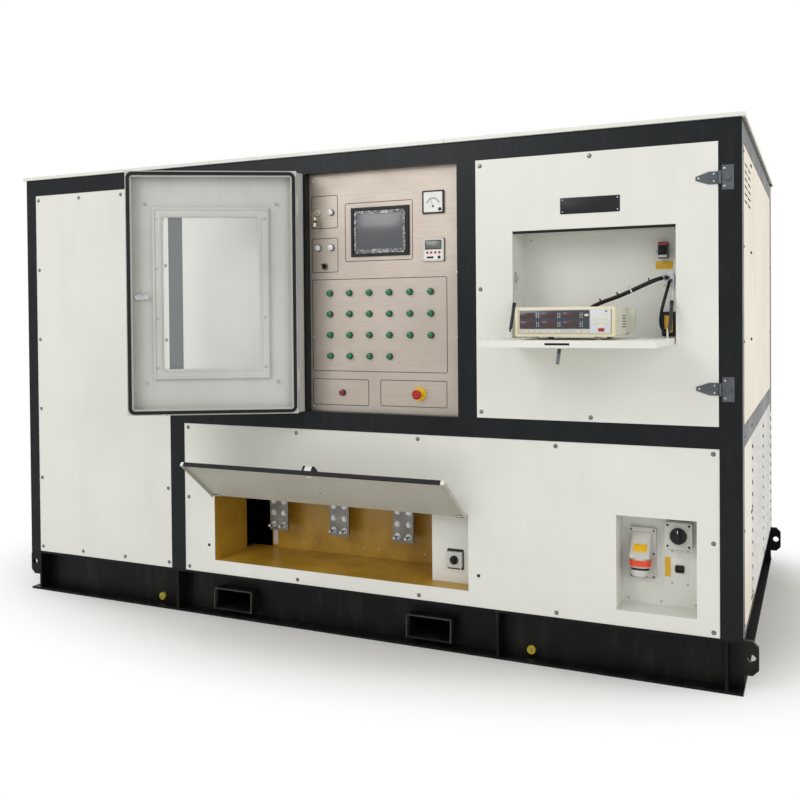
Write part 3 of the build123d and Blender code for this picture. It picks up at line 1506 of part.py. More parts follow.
with BuildPart() as fan_rotor:
    with BuildSketch(fan_plane.offset(fan_shroud_width / 2 - fan_hub_width / 2)) as hub:
        Circle(fan_hub_diameter / 2)
    extrude(hub.sketch, amount=fan_hub_width)
    with BuildSketch(fan_plane.offset(fan_shroud_width / 2)) as shaft:
        Circle(fan_shaft_diameter / 2)
    extrude(shaft.sketch, amount=motor_start - fan_shroud_width / 2 + motor_length / 4)
    for index in range(fan_blade_count):
        angle = index * 360 / fan_blade_count
        with BuildSketch(blade_plane(angle, fan_hub_diameter / 2 - 6, fan_root_pitch)) as root:
            Rectangle(fan_blade_root * 0.55, fan_blade_thickness)
        with BuildSketch(blade_plane(angle, shroud_radius - fan_tip_gap, fan_tip_pitch)) as tip:
            Rectangle(fan_blade_tip * 0.8, fan_blade_thickness)
        loft(sections=[root.sketch, tip.sketch])
save(fan_rotor, "fan_rotor")

stack_width = resistor_stack_length
rod_end_y = resistor_centre_y + resistor_depth / 2
with BuildPart() as resistor_bank:
    for x in resistor_stack_centres:
        for side in (-1, 1):
            with Locations((x, resistor_centre_y + side * resistor_depth / 2,
                            base_height + resistor_plate_height / 2)):
                Box(stack_width, resistor_plate, resistor_plate_height)
        for column in range(element_columns):
            for row in range(element_rows):
                place_x = x + (column - (element_columns - 1) / 2) * stack_width / element_columns
                place_z = base_height + resistor_plate_height / 2 + (
                    row - (element_rows - 1) / 2
                ) * element_pitch
                with BuildSketch(front_plane(place_x, rod_end_y, place_z)) as rod:
                    Circle(element_diameter / 2)
                extrude(rod.sketch, amount=resistor_depth)
save(resistor_bank, "resistor_bank")

rack_y = hatch_back_y + 2 * hatch_board
rack_x = (control_left + control_right) / 2
contactor_z = mid_rail_top + rack_height / 2
with BuildPart() as contactor_rack:
    rack_top = contactor_z + rack_height / 2
    with Locations((rack_x, rack_y + sheet / 2, (base_height + rack_top) / 2)):
        Box(rack_width, sheet, rack_top - base_height)
    with Locations(front_plane(rack_x, rack_y, contactor_z)):
        with GridLocations(
            rack_width / contactor_columns, rack_height / contactor_rows, contactor_columns,
            contactor_rows,
        ):
            Box(
                contactor_width, contactor_height, contactor_depth,
                align=(Align.CENTER, Align.CENTER, Align.MIN),
            )
save(contactor_rack, "contactor_rack")
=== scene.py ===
"""Finishes, fittings, camera and light of a generator load bank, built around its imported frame."""

import logging
import math
from collections.abc import Sequence
from dataclasses import dataclass
from enum import Enum

import bmesh
import bpy
from mathutils import Matrix, Vector, noise


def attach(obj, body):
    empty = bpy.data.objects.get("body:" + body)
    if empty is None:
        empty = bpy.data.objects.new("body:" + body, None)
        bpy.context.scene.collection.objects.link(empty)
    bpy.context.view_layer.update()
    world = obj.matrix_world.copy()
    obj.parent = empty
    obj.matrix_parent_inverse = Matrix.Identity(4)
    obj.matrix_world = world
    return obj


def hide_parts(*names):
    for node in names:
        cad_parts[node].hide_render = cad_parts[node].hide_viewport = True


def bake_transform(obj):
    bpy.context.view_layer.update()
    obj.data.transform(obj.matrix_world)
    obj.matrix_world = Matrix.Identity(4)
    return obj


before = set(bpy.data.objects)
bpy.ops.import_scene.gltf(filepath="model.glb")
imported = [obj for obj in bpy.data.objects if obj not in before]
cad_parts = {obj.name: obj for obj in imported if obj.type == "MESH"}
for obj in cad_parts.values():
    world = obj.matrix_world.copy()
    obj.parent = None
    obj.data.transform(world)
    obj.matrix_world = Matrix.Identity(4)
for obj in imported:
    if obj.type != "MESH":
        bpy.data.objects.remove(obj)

LOG = logging.getLogger("load_bank")
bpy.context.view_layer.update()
MM = 0.001

Point = tuple[float, float, float]
Colour = tuple[float, float, float, float]


# ------------------------------------------------------------------ materials
class Surface(Enum):
    """How a surface was made, which decides its bump and its grain."""

    POWDER = "powder coat"
    BRUSHED = "brushed sheet"
    CAST = "plated or cast"
    MOULDED = "moulded"
    POLISHED = "polished"
    CLEAR = "clear sheet"


def linear(hex_colour: str) -> Colour:
    """Turn an sRGB hex value into linear light.

    Args:
        hex_colour: Six hex digits.

    Returns:
        The colour with an alpha of 1.
    """
    parts = [int(hex_colour[at:at + 2], 16) / 255 for at in (0, 2, 4)]
    red, green, blue = (
        part / 12.92 if part <= 0.04045 else ((part + 0.055) / 1.055) ** 2.4 for part in parts
    )
    return red, green, blue, 1.0


def add_node(
    tree: bpy.types.NodeTree, kind: str, inputs: dict[int | str, object], **settings: object
) -> bpy.types.Node:
    """Add a shader node with its settings and links.

    Args:
        tree: The node tree.
        kind: The node's type name.
        inputs: Values or source sockets, by the input's name or number.
        settings: The node's own properties.

    Returns:
        The new node.
    """
    node = tree.nodes.new(kind)
    for name, value in settings.items():
        setattr(node, name, value)
    for key, value in inputs.items():
        if isinstance(value, bpy.types.NodeSocket):
            tree.links.new(value, node.inputs[key])
        else:
            node.inputs[key].default_value = value
    return node


@dataclass(frozen=True)
class Finish:
    """A real finish: its colours, its gloss and the size of its grain, in millimetres."""

    name: str
    colour: str
    shade: str
    roughness: float
    surface: Surface
    grain: float = 2.0
    bump: float = 0.15
    drift: float = 350.0
    metallic: float = 0.0
    ior: float = 1.5
    coat: float = 0.0
    grime: str = ""
    grime_share: float = 0.0
    grime_size: float = 120.0
    alpha: float = 1.0

    def material(self) -> bpy.types.Material:
        """Build the material, or return the one already built.

        Returns:
            The material.
        """
        kept = bpy.data.materials.get(self.name)
        if kept:
            return kept
        made = bpy.data.materials.new(self.name)
        made.use_nodes = True
        tree = made.node_tree
        tree.nodes.clear()
        place = add_node(tree, "ShaderNodeTexCoord", {}).outputs["Object"]
        drift = add_node(tree, "ShaderNodeTexNoise", {
            "Vector": place, "Scale": 1 / (self.drift * MM), "Detail": 3.0, "Roughness": 0.55,
        }).outputs[0]
        tone = add_node(tree, "ShaderNodeMix", {
            0: add_node(tree, "ShaderNodeMapRange", {
                0: drift, 1: 0.35, 2: 0.65,
            }).outputs[0], 6: linear(self.colour), 7: linear(self.shade),
        }, data_type="RGBA").outputs[2]
        if self.grime:
            tone = self.dirt(tree, place, tone)
        grain_place = self.grain_place(tree, place)
        grain = add_node(tree, "ShaderNodeTexNoise", {
            "Vector": grain_place, "Scale": 1 / (self.grain * MM), "Detail": 2.0, "Roughness": 0.5,
        }).outputs[0]
        if self.surface is Surface.BRUSHED:
            tone = add_node(tree, "ShaderNodeMix", {
                0: add_node(tree, "ShaderNodeMapRange", {
                0: grain, 1: 0.3, 2: 0.7,
            }).outputs[0], 6: tone, 7: linear(self.shade),
            }, data_type="RGBA").outputs[2]
        gloss = add_node(tree, "ShaderNodeMapRange", {
            0: drift, 1: 0.3, 2: 0.7, 3: max(self.roughness - 0.05, 0.02),
            4: min(self.roughness + 0.07, 1.0),
        }).outputs[0]
        shader = add_node(tree, "ShaderNodeBsdfPrincipled", {
            "Base Color": tone, "Roughness": gloss, "Metallic": self.metallic,
            "Coat Weight": self.coat, "Coat Roughness": 0.15,
        })
        if not self.metallic:
            shader.inputs["IOR"].default_value = self.ior
        shader.inputs["Alpha"].default_value = self.alpha
        if self.bump:
            relief = add_node(tree, "ShaderNodeBump", {
                "Strength": self.bump, "Distance": self.grain * MM * 0.15, "Height": grain,
            })
            tree.links.new(relief.outputs[0], shader.inputs["Normal"])
        add_node(tree, "ShaderNodeOutputMaterial", {"Surface": shader.outputs[0]})
        return made

    def grain_place(
        self, tree: bpy.types.NodeTree, place: bpy.types.NodeSocket
    ) -> bpy.types.NodeSocket:
        """Stretch the grain along X where the sheet was brushed that way.

        Args:
            tree: The material's node tree.
            place: Object coordinates.

        Returns:
            The coordinates that the grain reads.
        """
        if self.surface is not Surface.BRUSHED:
            return place
        return add_node(
            tree, "ShaderNodeMapping", {"Vector": place, "Scale": (0.012, 1.0, 1.0)}
        ).outputs[0]

    def dirt(
        self, tree: bpy.types.NodeTree, place: bpy.types.NodeSocket, tone: bpy.types.NodeSocket
    ) -> bpy.types.NodeSocket:
        """Lay thin vertical streaks and specks of dirt over a tone.

        Args:
            tree: The material's node tree.
            place: Object coordinates.
            tone: The colour so far.

        Returns:
            The colour with its dirt.
        """
        streaked = add_node(
            tree, "ShaderNodeMapping", {"Vector": place, "Scale": (1.0, 1.0, 0.22)}
        ).outputs[0]
        broad = add_node(tree, "ShaderNodeTexNoise", {
            "Vector": streaked, "Scale": 1 / (self.grime_size * MM), "Detail": 6.0,
            "Roughness": 0.65,
        }).outputs[0]
        share = add_node(tree, "ShaderNodeMath", {
            0: add_node(tree, "ShaderNodeMapRange", {
                0: broad, 1: 0.5, 2: 0.78,
            }).outputs[0], 1: self.grime_share,
        }, operation="MULTIPLY").outputs[0]
        return add_node(
            tree, "ShaderNodeMix", {0: share, 6: tone, 7: linear(self.grime)}, data_type="RGBA"
        ).outputs[2]


# Polyester powder coat on steel: a warm white with a fine orange peel and a little road dust
WHITE_POWDER = Finish("powder_coat_warm_white", "E4E4DE", "DEDED6", 0.42, Surface.POWDER, 2.5,
                      0.10, 600.0, grime="B9B5A8", grime_share=0.16, grime_size=160.0)
# The same coat in a creamier batch: the side walls look warmer, with more streaks of dust
CREAM_POWDER = Finish("powder_coat_cream", "E9E3D4", "E2DBCB", 0.40, Surface.POWDER, 2.5, 0.10,
                      500.0, grime="A89C84", grime_share=0.22, grime_size=150.0)
# A greyer coat with a little metal flake: the slats take a soft, cooler sheen
LOUVRE_POWDER = Finish("powder_coat_louvre_grey", "CFCFCB", "C4C4C0", 0.36, Surface.POWDER, 2.5,
                       0.12, 300.0, metallic=0.2, grime="8C8A84", grime_share=0.3, grime_size=80.0)
# Light grey powder coat: the doors' inner sides look duller than the outside
GREY_POWDER = Finish("powder_coat_light_grey", "C6C7C1", "BCBDB7", 0.45, Surface.POWDER, 2.5, 0.12,
                     420.0, grime="8F8C82", grime_share=0.18, grime_size=90.0)
# Beige-grey powder coat: the flap's inner side looks warm, matt and slightly soiled
FLAP_POWDER = Finish("powder_coat_beige_grey", "B9B7AC", "AFADA1", 0.45, Surface.POWDER, 2.5, 0.12,
                     300.0, grime="8A8779", grime_share=0.2, grime_size=90.0)
# Semi-gloss enamel on tube: a blue-black with soft highlights and faint wear
FRAME_ENAMEL = Finish("enamel_blue_black", "0D1114", "12171A", 0.32, Surface.POWDER, 3.0, 0.16,
                      300.0, ior=1.28, grime="4A4C4C", grime_share=0.12, grime_size=45.0)
# Chassis paint over rolled channel: near black and uneven, scuffed to a dusty grey
SKID_PAINT = Finish("chassis_black_paint", "080909", "0E0F0F", 0.40, Surface.CAST, 5.0, 0.30,
                    200.0, ior=1.25, grime="4E4B45", grime_share=0.22, grime_size=70.0)
# Weld bead under the chassis paint: coarse ripples that break the light
WELD_STEEL = Finish("painted_weld", "1A1B1B", "3A3936", 0.5, Surface.CAST, 4.0, 0.8, 18.0)
# Brushed anodised aluminium: fine level lines in a champagne tone, with a soft sheen
PLATE_METAL = Finish("brushed_champagne_aluminium", "C2B7AA", "A99F94", 0.42, Surface.BRUSHED, 0.9,
                     0.05, 500.0, metallic=0.55)
# Zinc-plated pressed or turned steel: a bright, cool grey with a faint clouding
ZINC = Finish("zinc_plated_steel", "C4C6C6", "A2A6A8", 0.30, Surface.CAST, 6.0, 0.12, 25.0,
              metallic=1.0)
# Brushed stainless steel: a dark, streaked shine
STAINLESS = Finish("dark_stainless_steel", "6C6F72", "54575B", 0.38, Surface.BRUSHED, 0.8, 0.10,
                   60.0, metallic=1.0)
# Chemically blackened steel: a dull dark grey with a faint glint
BLACK_OXIDE = Finish("black_oxide_screw", "26282A", "3B3D3F", 0.40, Surface.CAST, 2.0, 0.10, 15.0,
                     metallic=0.6)
# Drawn and tinned copper bar: a warm grey metal with streaks along it
TINNED_COPPER = Finish("tinned_copper_bar", "8A877F", "6B6962", 0.34, Surface.BRUSHED, 1.2, 0.10,
                       70.0, metallic=0.9)
# Laminated glass-fibre board: a deep yellow under a thin resin shine, soiled with brown
BOARD = Finish("glass_fibre_board_yellow", "C39A33", "A98122", 0.40, Surface.MOULDED, 3.0, 0.16,
               180.0, coat=0.15, grime="8A6A22", grime_share=0.3, grime_size=60.0)
# Moulded ABS: an even black with a fine grain and a low shine
BLACK_ABS = Finish("moulded_black_abs", "0C0D0D", "131414", 0.36, Surface.MOULDED, 1.2, 0.14, 80.0,
                   ior=1.36)
# Moulded nylon: a softer, matt black
SOFT_BLACK = Finish("matt_black_nylon", "151616", "1E1F1F", 0.55, Surface.MOULDED, 1.5, 0.2, 40.0,
                    ior=1.36)
# Moulded polycarbonate: a pale grey with a slight clear shine
GREY_ABS = Finish("moulded_grey_polycarbonate", "C9C7C1", "BFBDB6", 0.32, Surface.MOULDED, 1.5,
                  0.10, 120.0, coat=0.2)
# Moulded ABS: a plain ivory with a low shine
IVORY_ABS = Finish("moulded_ivory_abs", "E6DDBF", "DCD2B2", 0.40, Surface.MOULDED, 1.2, 0.10,
                   150.0)
# Stove enamel on sheet steel: a pale greenish grey with a very fine texture
CASE_ENAMEL = Finish("stove_enamel_pale_grey", "CFCFC2", "C6C6B8", 0.45, Surface.POWDER, 1.5, 0.15,
                     160.0)
# Moulded ABS: a clean, slightly glossy white
WHITE_ABS = Finish("moulded_white_abs", "E6E6E2", "DCDCD7", 0.35, Surface.MOULDED, 1.2, 0.08, 60.0)
# Moulded nylon: a bright orange with a thin shine on its edges
ORANGE_ABS = Finish("moulded_orange_nylon", "E8501C", "D94412", 0.36, Surface.MOULDED, 1.5, 0.10,
                    60.0, coat=0.2)
# Moulded nylon: a deep, smooth red
RED_ABS = Finish("moulded_red_nylon", "B3130F", "98100C", 0.34, Surface.MOULDED, 1.0, 0.05, 30.0)
# Moulded nylon: a strong, smooth yellow
YELLOW_ABS = Finish("moulded_yellow_nylon", "EFC21A", "E3B410", 0.35, Surface.MOULDED, 1.0, 0.08,
                    40.0)
# Polyester film label: a flat yellow with a faint sheen
TAG_YELLOW = Finish("yellow_film_label", "E7B512", "DCA90C", 0.42, Surface.POLISHED, 6.0, 0.05,
                    30.0)
# Paint on a turned boss: a dull, uneven yellow
EARTH_YELLOW = Finish("yellow_painted_boss", "C9B21F", "A8931A", 0.45, Surface.CAST, 3.0, 0.2,
                      20.0)
# Moulded acrylic lens, unlit: a dark, glossy green
GREEN_LENS = Finish("green_lamp_lens", "007243", "00603A", 0.26, Surface.POLISHED, 2.0, 0.05, 12.0)
# Moulded acrylic lens, unlit: a milky white with a sharp highlight
WHITE_LENS = Finish("white_lamp_lens", "D9DBDC", "C9CCCE", 0.18, Surface.POLISHED, 2.0, 0.05, 12.0,
                    coat=0.6)
# Moulded acrylic lens, unlit: a dark, glossy red
RED_LENS = Finish("red_lamp_lens", "7E0D0B", "690907", 0.22, Surface.POLISHED, 2.0, 0.05, 12.0)
# Extruded rubber: a dull black that takes almost no highlight
SEAL = Finish("extruded_black_rubber", "0A0B0B", "111212", 0.62, Surface.MOULDED, 2.0, 0.25, 30.0,
              ior=1.36)
# Extruded wiring sleeve: a matt black with a fine ripple
CORD_RUBBER = Finish("black_wiring_sleeve", "0C0C0C", "151515", 0.5, Surface.MOULDED, 1.6, 0.35,
                     9.0, ior=1.36)
# Screen-printed ink: thin, flat, dark lines
INK = Finish("screen_printed_ink", "35322F", "2C2A28", 0.55, Surface.POLISHED, 1.0, 0.0, 20.0)
# Glass over a dark display: an even grey with a clear reflection
SCREEN_GLASS = Finish("dark_display_glass", "4A4B50", "424348", 0.22, Surface.POLISHED, 30.0, 0.02,
                      200.0, coat=0.5)
# Smoked acrylic window: a blue-black with a clear reflection
METER_WINDOW = Finish("smoked_meter_window", "232B38", "1C232E", 0.20, Surface.POLISHED, 20.0,
                      0.02, 90.0, coat=0.5)
# Unlit display behind red acrylic: nearly black with a red cast
DIGIT_RED = Finish("unlit_red_display", "32100F", "3D1412", 0.22, Surface.POLISHED, 4.0, 0.02, 8.0,
                   coat=0.4)
# Unlit liquid-crystal display under glass: a flat grey-green
LCD = Finish("grey_green_lcd", "5A6152", "4E5548", 0.25, Surface.POLISHED, 5.0, 0.02, 30.0,
             coat=0.5)
# Printed card: a plain, matt white
DIAL_WHITE = Finish("printed_dial_card", "E8E9E4", "E0E1DC", 0.5, Surface.POLISHED, 2.0, 0.02,
                    60.0)
# Printed polyester film: a light, cool grey with a low sheen
LIGHT_PANEL = Finish("printed_light_grey_film", "D6D8DA", "CDCFD2", 0.42, Surface.POLISHED, 2.0,
                     0.02, 60.0)
# Printed polyester film: a flat mid blue
PANEL_BLUE = Finish("printed_blue_mark", "2E6FB4", "28619E", 0.4, Surface.POLISHED, 1.0, 0.0, 10.0)
# Polished nickel-plated brass: a pale golden shine
KEY_BRASS = Finish("nickel_plated_brass", "CDBE93", "B5A67C", 0.28, Surface.POLISHED, 2.0, 0.08,
                   12.0, metallic=1.0)
# Extruded polycarbonate sheet: almost clear, seen by its highlights alone
PANE = Finish("clear_polycarbonate", "F4F8F8", "EEF4F4", 0.06, Surface.CLEAR, 200.0, 0.0, 900.0,
              alpha=0.12)
# Thin stretch film: creases that glint over a dark surface
FILM = Finish("wrinkled_clear_film", "77787B", "2B2C2E", 0.14, Surface.CLEAR, 9.0, 0.9, 11.0,
              coat=1.0)
# Domed stainless screws with dark sockets, which dot the edges of every panel
SCREW_STEEL = Finish("domed_stainless_screw", "8E9092", "6E7073", 0.28, Surface.CAST, 2.0, 0.10,
                     15.0, metallic=1.0)


# ------------------------------------------------------------------ mesh building
def facing(origin: Point, right: Point, up: Point) -> Matrix:
    """Place for flat work: x runs right, y up and z out of the face, all in millimetres.

    Args:
        origin: Where the face's own origin lies, in millimetres.
        right: Direction of x.
        up: Direction of y.

    Returns:
        The matrix from the face's millimetres to metres in the frame.
    """
    across, upward = Vector(right).normalized(), Vector(up).normalized()
    out = across.cross(upward)
    turn = Matrix((across, upward, out)).transposed().to_4x4()
    return Matrix.Translation(Vector(origin) * MM) @ turn @ Matrix.Scale(MM, 4)


def front(y: float) -> Matrix:
    """Face looking out of the control side at a given depth."""
    return facing((0, y, 0), (1, 0, 0), (0, 0, 1))


class Piece:
    """A visible piece under construction, with a material slot for each finish it uses."""

    def __init__(self, place: Matrix) -> None:
        """Start an empty piece.

        Args:
            place: From the piece's own millimetres to the frame.
        """
        self.place = place
        self.mesh = bmesh.new()
        self.finishes: list[Finish] = []

    def take(self, part: bmesh.types.BMesh, finish: Finish) -> None:
        """Add a part made in the face's millimetres, in one finish.

        Args:
            part: The part, which is used up.
            finish: Its finish.
        """
        if finish not in self.finishes:
            self.finishes.append(finish)
        number = self.finishes.index(finish)
        for face in part.faces:
            face.material_index = number
            face.smooth = True
        bmesh.ops.recalc_face_normals(part, faces=part.faces)
        bmesh.ops.transform(part, matrix=self.place, verts=part.verts)
        held = bpy.data.meshes.new("part")
        part.to_mesh(held)
        self.mesh.from_mesh(held)
        bpy.data.meshes.remove(held)
        part.free()

    def block(
        self, finish: Finish, x: float, y: float, z: float, width: float, height: float,
        depth: float,
        bevel: float = 0.0, corner: float = 0.0, spin: float = 0.0,
    ) -> None:
        """Add a block centred on x and y that stands depth out from z.

        Args:
            finish: Its finish.
            x: Centre across.
            y: Centre up.
            z: Where its back lies.
            width: Size across.
            height: Size up.
            depth: How far it stands out.
            bevel: Width of the bevel round its front edges.
            corner: Radius of its four corners.
            spin: Turn about z, in degrees.
        """
        part = bmesh.new()
        turn = Matrix.Rotation(math.radians(spin), 4, "Z")
        bmesh.ops.create_cube(part, size=1.0, matrix=Matrix.Diagonal((width, height, depth, 1.0)))
        if corner:
            upright = [edge for edge in part.edges
                       if abs(edge.verts[0].co.z - edge.verts[1].co.z) > depth / 2]
            bmesh.ops.bevel(part, geom=upright, offset=corner, segments=5, profile=0.5,
                            affect="EDGES", material=-1)
        if bevel:
            rim = [edge for edge in part.edges
                   if edge.verts[0].co.z > depth * 0.49 and edge.verts[1].co.z > depth * 0.49]
            bmesh.ops.bevel(part, geom=rim, offset=bevel, segments=2, profile=0.5,
                            affect="EDGES", material=-1)
        shift = Matrix.Translation((x, y, z + depth / 2))
        bmesh.ops.transform(part, matrix=shift @ turn, verts=part.verts)
        self.take(part, finish)

    def turned(
        self, finish: Finish, x: float, y: float, z: float, profile: Sequence[tuple[float, float]],
        sides: int = 24, axis: str = "Z",
    ) -> None:
        """Add a round part spun from its profile about an axis through x, y and z.

        Args:
            finish: Its finish.
            x: Centre across.
            y: Centre up.
            z: Where the profile's zero height lies.
            profile: Radius and height pairs from the bottom to the top.
            sides: Steps round the axis.
            axis: The face's axis that the part stands along.
        """
        part = bmesh.new()
        points = [part.verts.new((radius, 0.0, height)) for radius, height in profile]
        edges = [part.edges.new(pair) for pair in zip(points, points[1:])]
        bmesh.ops.spin(part, geom=points + edges, cent=(0, 0, 0), axis=(0, 0, 1),
                       angle=math.tau, steps=sides, use_merge=True)
        bmesh.ops.remove_doubles(part, verts=part.verts, dist=0.001)
        open_rims = [edge for edge in part.edges if edge.is_boundary]
        if open_rims:
            bmesh.ops.holes_fill(part, edges=open_rims, sides=0)
        lean = {"Z": Matrix.Identity(4), "X": Matrix.Rotation(math.pi / 2, 4, "Y"),
                "Y": Matrix.Rotation(-math.pi / 2, 4, "X")}[axis]
        bmesh.ops.transform(part, matrix=Matrix.Translation((x, y, z)) @ lean, verts=part.verts)
        self.take(part, finish)

    def screw(self, finish: Finish, x: float, y: float, z: float, radius: float = 6.0) -> None:
        """Add a button-head screw with a hexagon socket.

        Args:
            finish: Its finish.
            x: Centre across.
            y: Centre up.
            z: Where its head sits.
            radius: Radius of the head.
        """
        depth = radius * 0.55
        self.turned(finish, x, y, z, (
            (radius, 0), (radius, depth * 0.4), (radius * 0.8, depth * 0.85), (radius * 0.45,
                                                                               depth),
            (radius * 0.42, depth * 0.5), (0, depth * 0.5),
        ), 14)

    def hexagon(
        self, finish: Finish, x: float, y: float, z: float, flats: float, depth: float
    ) -> None:
        """Add a hexagon head or nut with a broken edge.

        Args:
            finish: Its finish.
            x: Centre across.
            y: Centre up.
            z: Where its back lies.
            flats: Size across the flats.
            depth: How far it stands out.
        """
        part = bmesh.new()
        bmesh.ops.create_cone(part, cap_ends=True, segments=6, radius1=flats / math.sqrt(3),
                              radius2=flats / math.sqrt(3), depth=depth)
        rim = [edge for edge in part.edges if min(v.co.z for v in edge.verts) > depth * 0.49]
        bmesh.ops.bevel(part, geom=rim, offset=flats * 0.06, segments=2, profile=0.5,
                        affect="EDGES", material=-1)
        bmesh.ops.transform(part, matrix=Matrix.Translation((x, y, z + depth / 2)),
                            verts=part.verts)
        self.take(part, finish)

    def border(
        self, finish: Finish, low: tuple[float, float], high: tuple[float, float], z: float,
        width: float, depth: float, corner: float = 0.0,
    ) -> None:
        """Add a closed band round a rectangle.

        Args:
            finish: Its finish.
            low: Lower left outer corner.
            high: Upper right outer corner.
            z: Where its back lies.
            width: Width of the band.
            depth: How far it stands out.
            corner: Radius of its outer corners, which stays larger than the band is wide.
        """
        part = bmesh.new()
        ends = ((low[0], low[1]), (high[0], low[1]), (high[0], high[1]), (low[0], high[1]))
        face = part.faces.new([part.verts.new((x, y, z)) for x, y in ends])
        if corner:
            bmesh.ops.bevel(part, geom=part.verts[:], offset=max(corner, width * 1.1), segments=5,
                            profile=0.5, affect="VERTICES", material=-1)
            face = part.faces[:][0]
        bmesh.ops.inset_region(part, faces=[face], thickness=width, use_boundary=True,
                               use_even_offset=True)
        part.faces.ensure_lookup_table()
        inner = min(part.faces, key=lambda item: (len(item.verts) == 4, -len(item.verts))
                    if corner else (item.calc_center_median() - face.calc_center_median()).length)
        bmesh.ops.delete(part, geom=[inner], context="FACES_ONLY")
        grown = bmesh.ops.extrude_face_region(part, geom=part.faces[:])["geom"]
        raised = [item for item in grown if isinstance(item, bmesh.types.BMVert)]
        bmesh.ops.translate(part, vec=(0, 0, depth), verts=raised)
        self.take(part, finish)

    def hoop(
        self, finish: Finish, centre: Point, radius: float, wire: float, tilt: Matrix,
        arc: float = math.tau,
    ) -> None:
        """Add a ring or an arc of round wire.

        Args:
            finish: Its finish.
            centre: Centre of the ring.
            radius: Radius to the wire's centre.
            wire: The wire's radius.
            tilt: Turn of the ring, which lies flat on the face without one.
            arc: How far it goes round.
        """
        part = bmesh.new()
        ring = bmesh.ops.create_circle(
            part, segments=8, radius=wire,
            matrix=Matrix.Translation((radius, 0, 0)) @ Matrix.Rotation(math.pi / 2, 4, "X"),
        )["verts"]
        loop = list({edge for vert in ring for edge in vert.link_edges})
        full = abs(arc - math.tau) < 1e-6
        bmesh.ops.spin(part, geom=ring + loop, cent=(0, 0, 0), axis=(0, 0, 1), angle=arc,
                       steps=28, use_merge=full)
        rims = [edge for edge in part.edges if edge.is_boundary]
        if rims:
            bmesh.ops.holes_fill(part, edges=rims, sides=0)
        bmesh.ops.transform(part, matrix=Matrix.Translation(centre) @ tilt, verts=part.verts)
        self.take(part, finish)

    def finish(self, name: str, body: str, slot: str,
               stands_for: Sequence[str] = ()) -> bpy.types.Object:
        """Turn the mesh into an object that rides on a body.

        Args:
            name: The piece's name.
            body: The body it rides on.
            slot: Not used.
            stands_for: CAD nodes that it replaces.

        Returns:
            The object.
        """
        data = bpy.data.meshes.new(name)
        self.mesh.to_mesh(data)
        self.mesh.free()
        for item in self.finishes:
            data.materials.append(item.material())
        data.set_sharp_from_angle(angle=math.radians(38))
        made = bpy.data.objects.new(name, data)
        bpy.context.scene.collection.objects.link(made)
        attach(made, body)
        if stands_for:
            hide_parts(*stands_for)
        LOG.info("piece %s on %s: %d faces", name, body, len(data.polygons))
        return made


def dress(finish: Finish, *nodes: str) -> None:
    """Give CAD nodes a finish.

    Args:
        finish: The finish.
        nodes: Names of the nodes.
    """
    for name in nodes:
        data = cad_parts[name].data
        data.materials.clear()
        data.materials.append(finish.material())
        LOG.info("node %s in %s", name, finish.name)


def spaced(low: float, high: float, count: int) -> list[float]:
    """Places spread evenly from low to high."""
    return [low + (high - low) * step / (count - 1) for step in range(count)]


# ------------------------------------------------------------------ the sub-assemblies
@dataclass(frozen=True)
class Layout:
    """Places on the cabinet that more than one piece uses, in millimetres."""

    frame_face: float = -1035.0
    panel_face: float = -1033.0
    plate_face: float = -995.0


PLACES = Layout()


@dataclass
class Skid:
    """Painted base with its weld beads, and the bolts in the stiffeners."""

    pocket_centres: tuple[float, float] = (-490.0, 490.0)
    pocket_width: float = 200.0
    pocket_height: float = 98.0
    pocket_middle: float = 81.0
    bead: float = 3.5
    boss_places: tuple[float, float] = (-937.0, 919.0)
    boss_z: float = 37.0

    def build(self) -> None:
        """Dress the skid and lay its weld beads."""
        dress(SKID_PAINT, "base_rails", "base_deck", "fork_pockets", "lashing_lugs")
        self.weld_beads()
        self.earth_bosses()

    def earth_bosses(self) -> None:
        """Cap the two earth bosses in yellow, each with its bolt."""
        piece = Piece(front(-970.0))
        for x in self.boss_places:
            piece.turned(EARTH_YELLOW, x, self.boss_z, 0.0, (
                (17.6, 0), (17.6, 11.0), (16.2, 12.6), (6.5, 12.6), (6.0, 10.0), (0, 10.0),
            ), 28)
            piece.hexagon(ZINC, x, self.boss_z, 10.0, 9.0, 4.5)
        piece.finish("earth_bosses", "enclosure", "base_black")

    def weld_beads(self) -> None:
        """Lay lumpy weld beads round the fork pockets' mouths."""
        for side, face in ((-1, 1), (1, -1)):
            place = facing((0, side * 1035.0, 0), (-side, 0, 0), (0, 0, 1))
            piece = Piece(place)
            for centre in self.pocket_centres:
                left, right = centre - self.pocket_width / 2, centre + self.pocket_width / 2
                low = self.pocket_middle - self.pocket_height / 2
                high = self.pocket_middle + self.pocket_height / 2
                runs = (((left, low), (left, high)), ((right, low), (right, high)),
                        ((left, high), (right, high)))
                for start, end in runs:
                    length = math.dist(start, end)
                    for share in spaced(0.03, 0.97, max(int(length / 5.5), 2)):
                        x = start[0] + (end[0] - start[0]) * share
                        y = start[1] + (end[1] - start[1]) * share
                        swell = 1 + 0.35 * noise.noise((x * 0.11, y * 0.13, float(side)))
                        piece.turned(WELD_STEEL, x * -side, y, -self.bead * 1.2, (
                            (self.bead * swell, 0), (self.bead * 0.9 * swell, self.bead * 0.6),
                            (0, self.bead * 1.1),
                        ), 6)
            piece.finish(f"weld_beads_{'front' if side < 0 else 'rear'}", "enclosure",
                         "base_black")


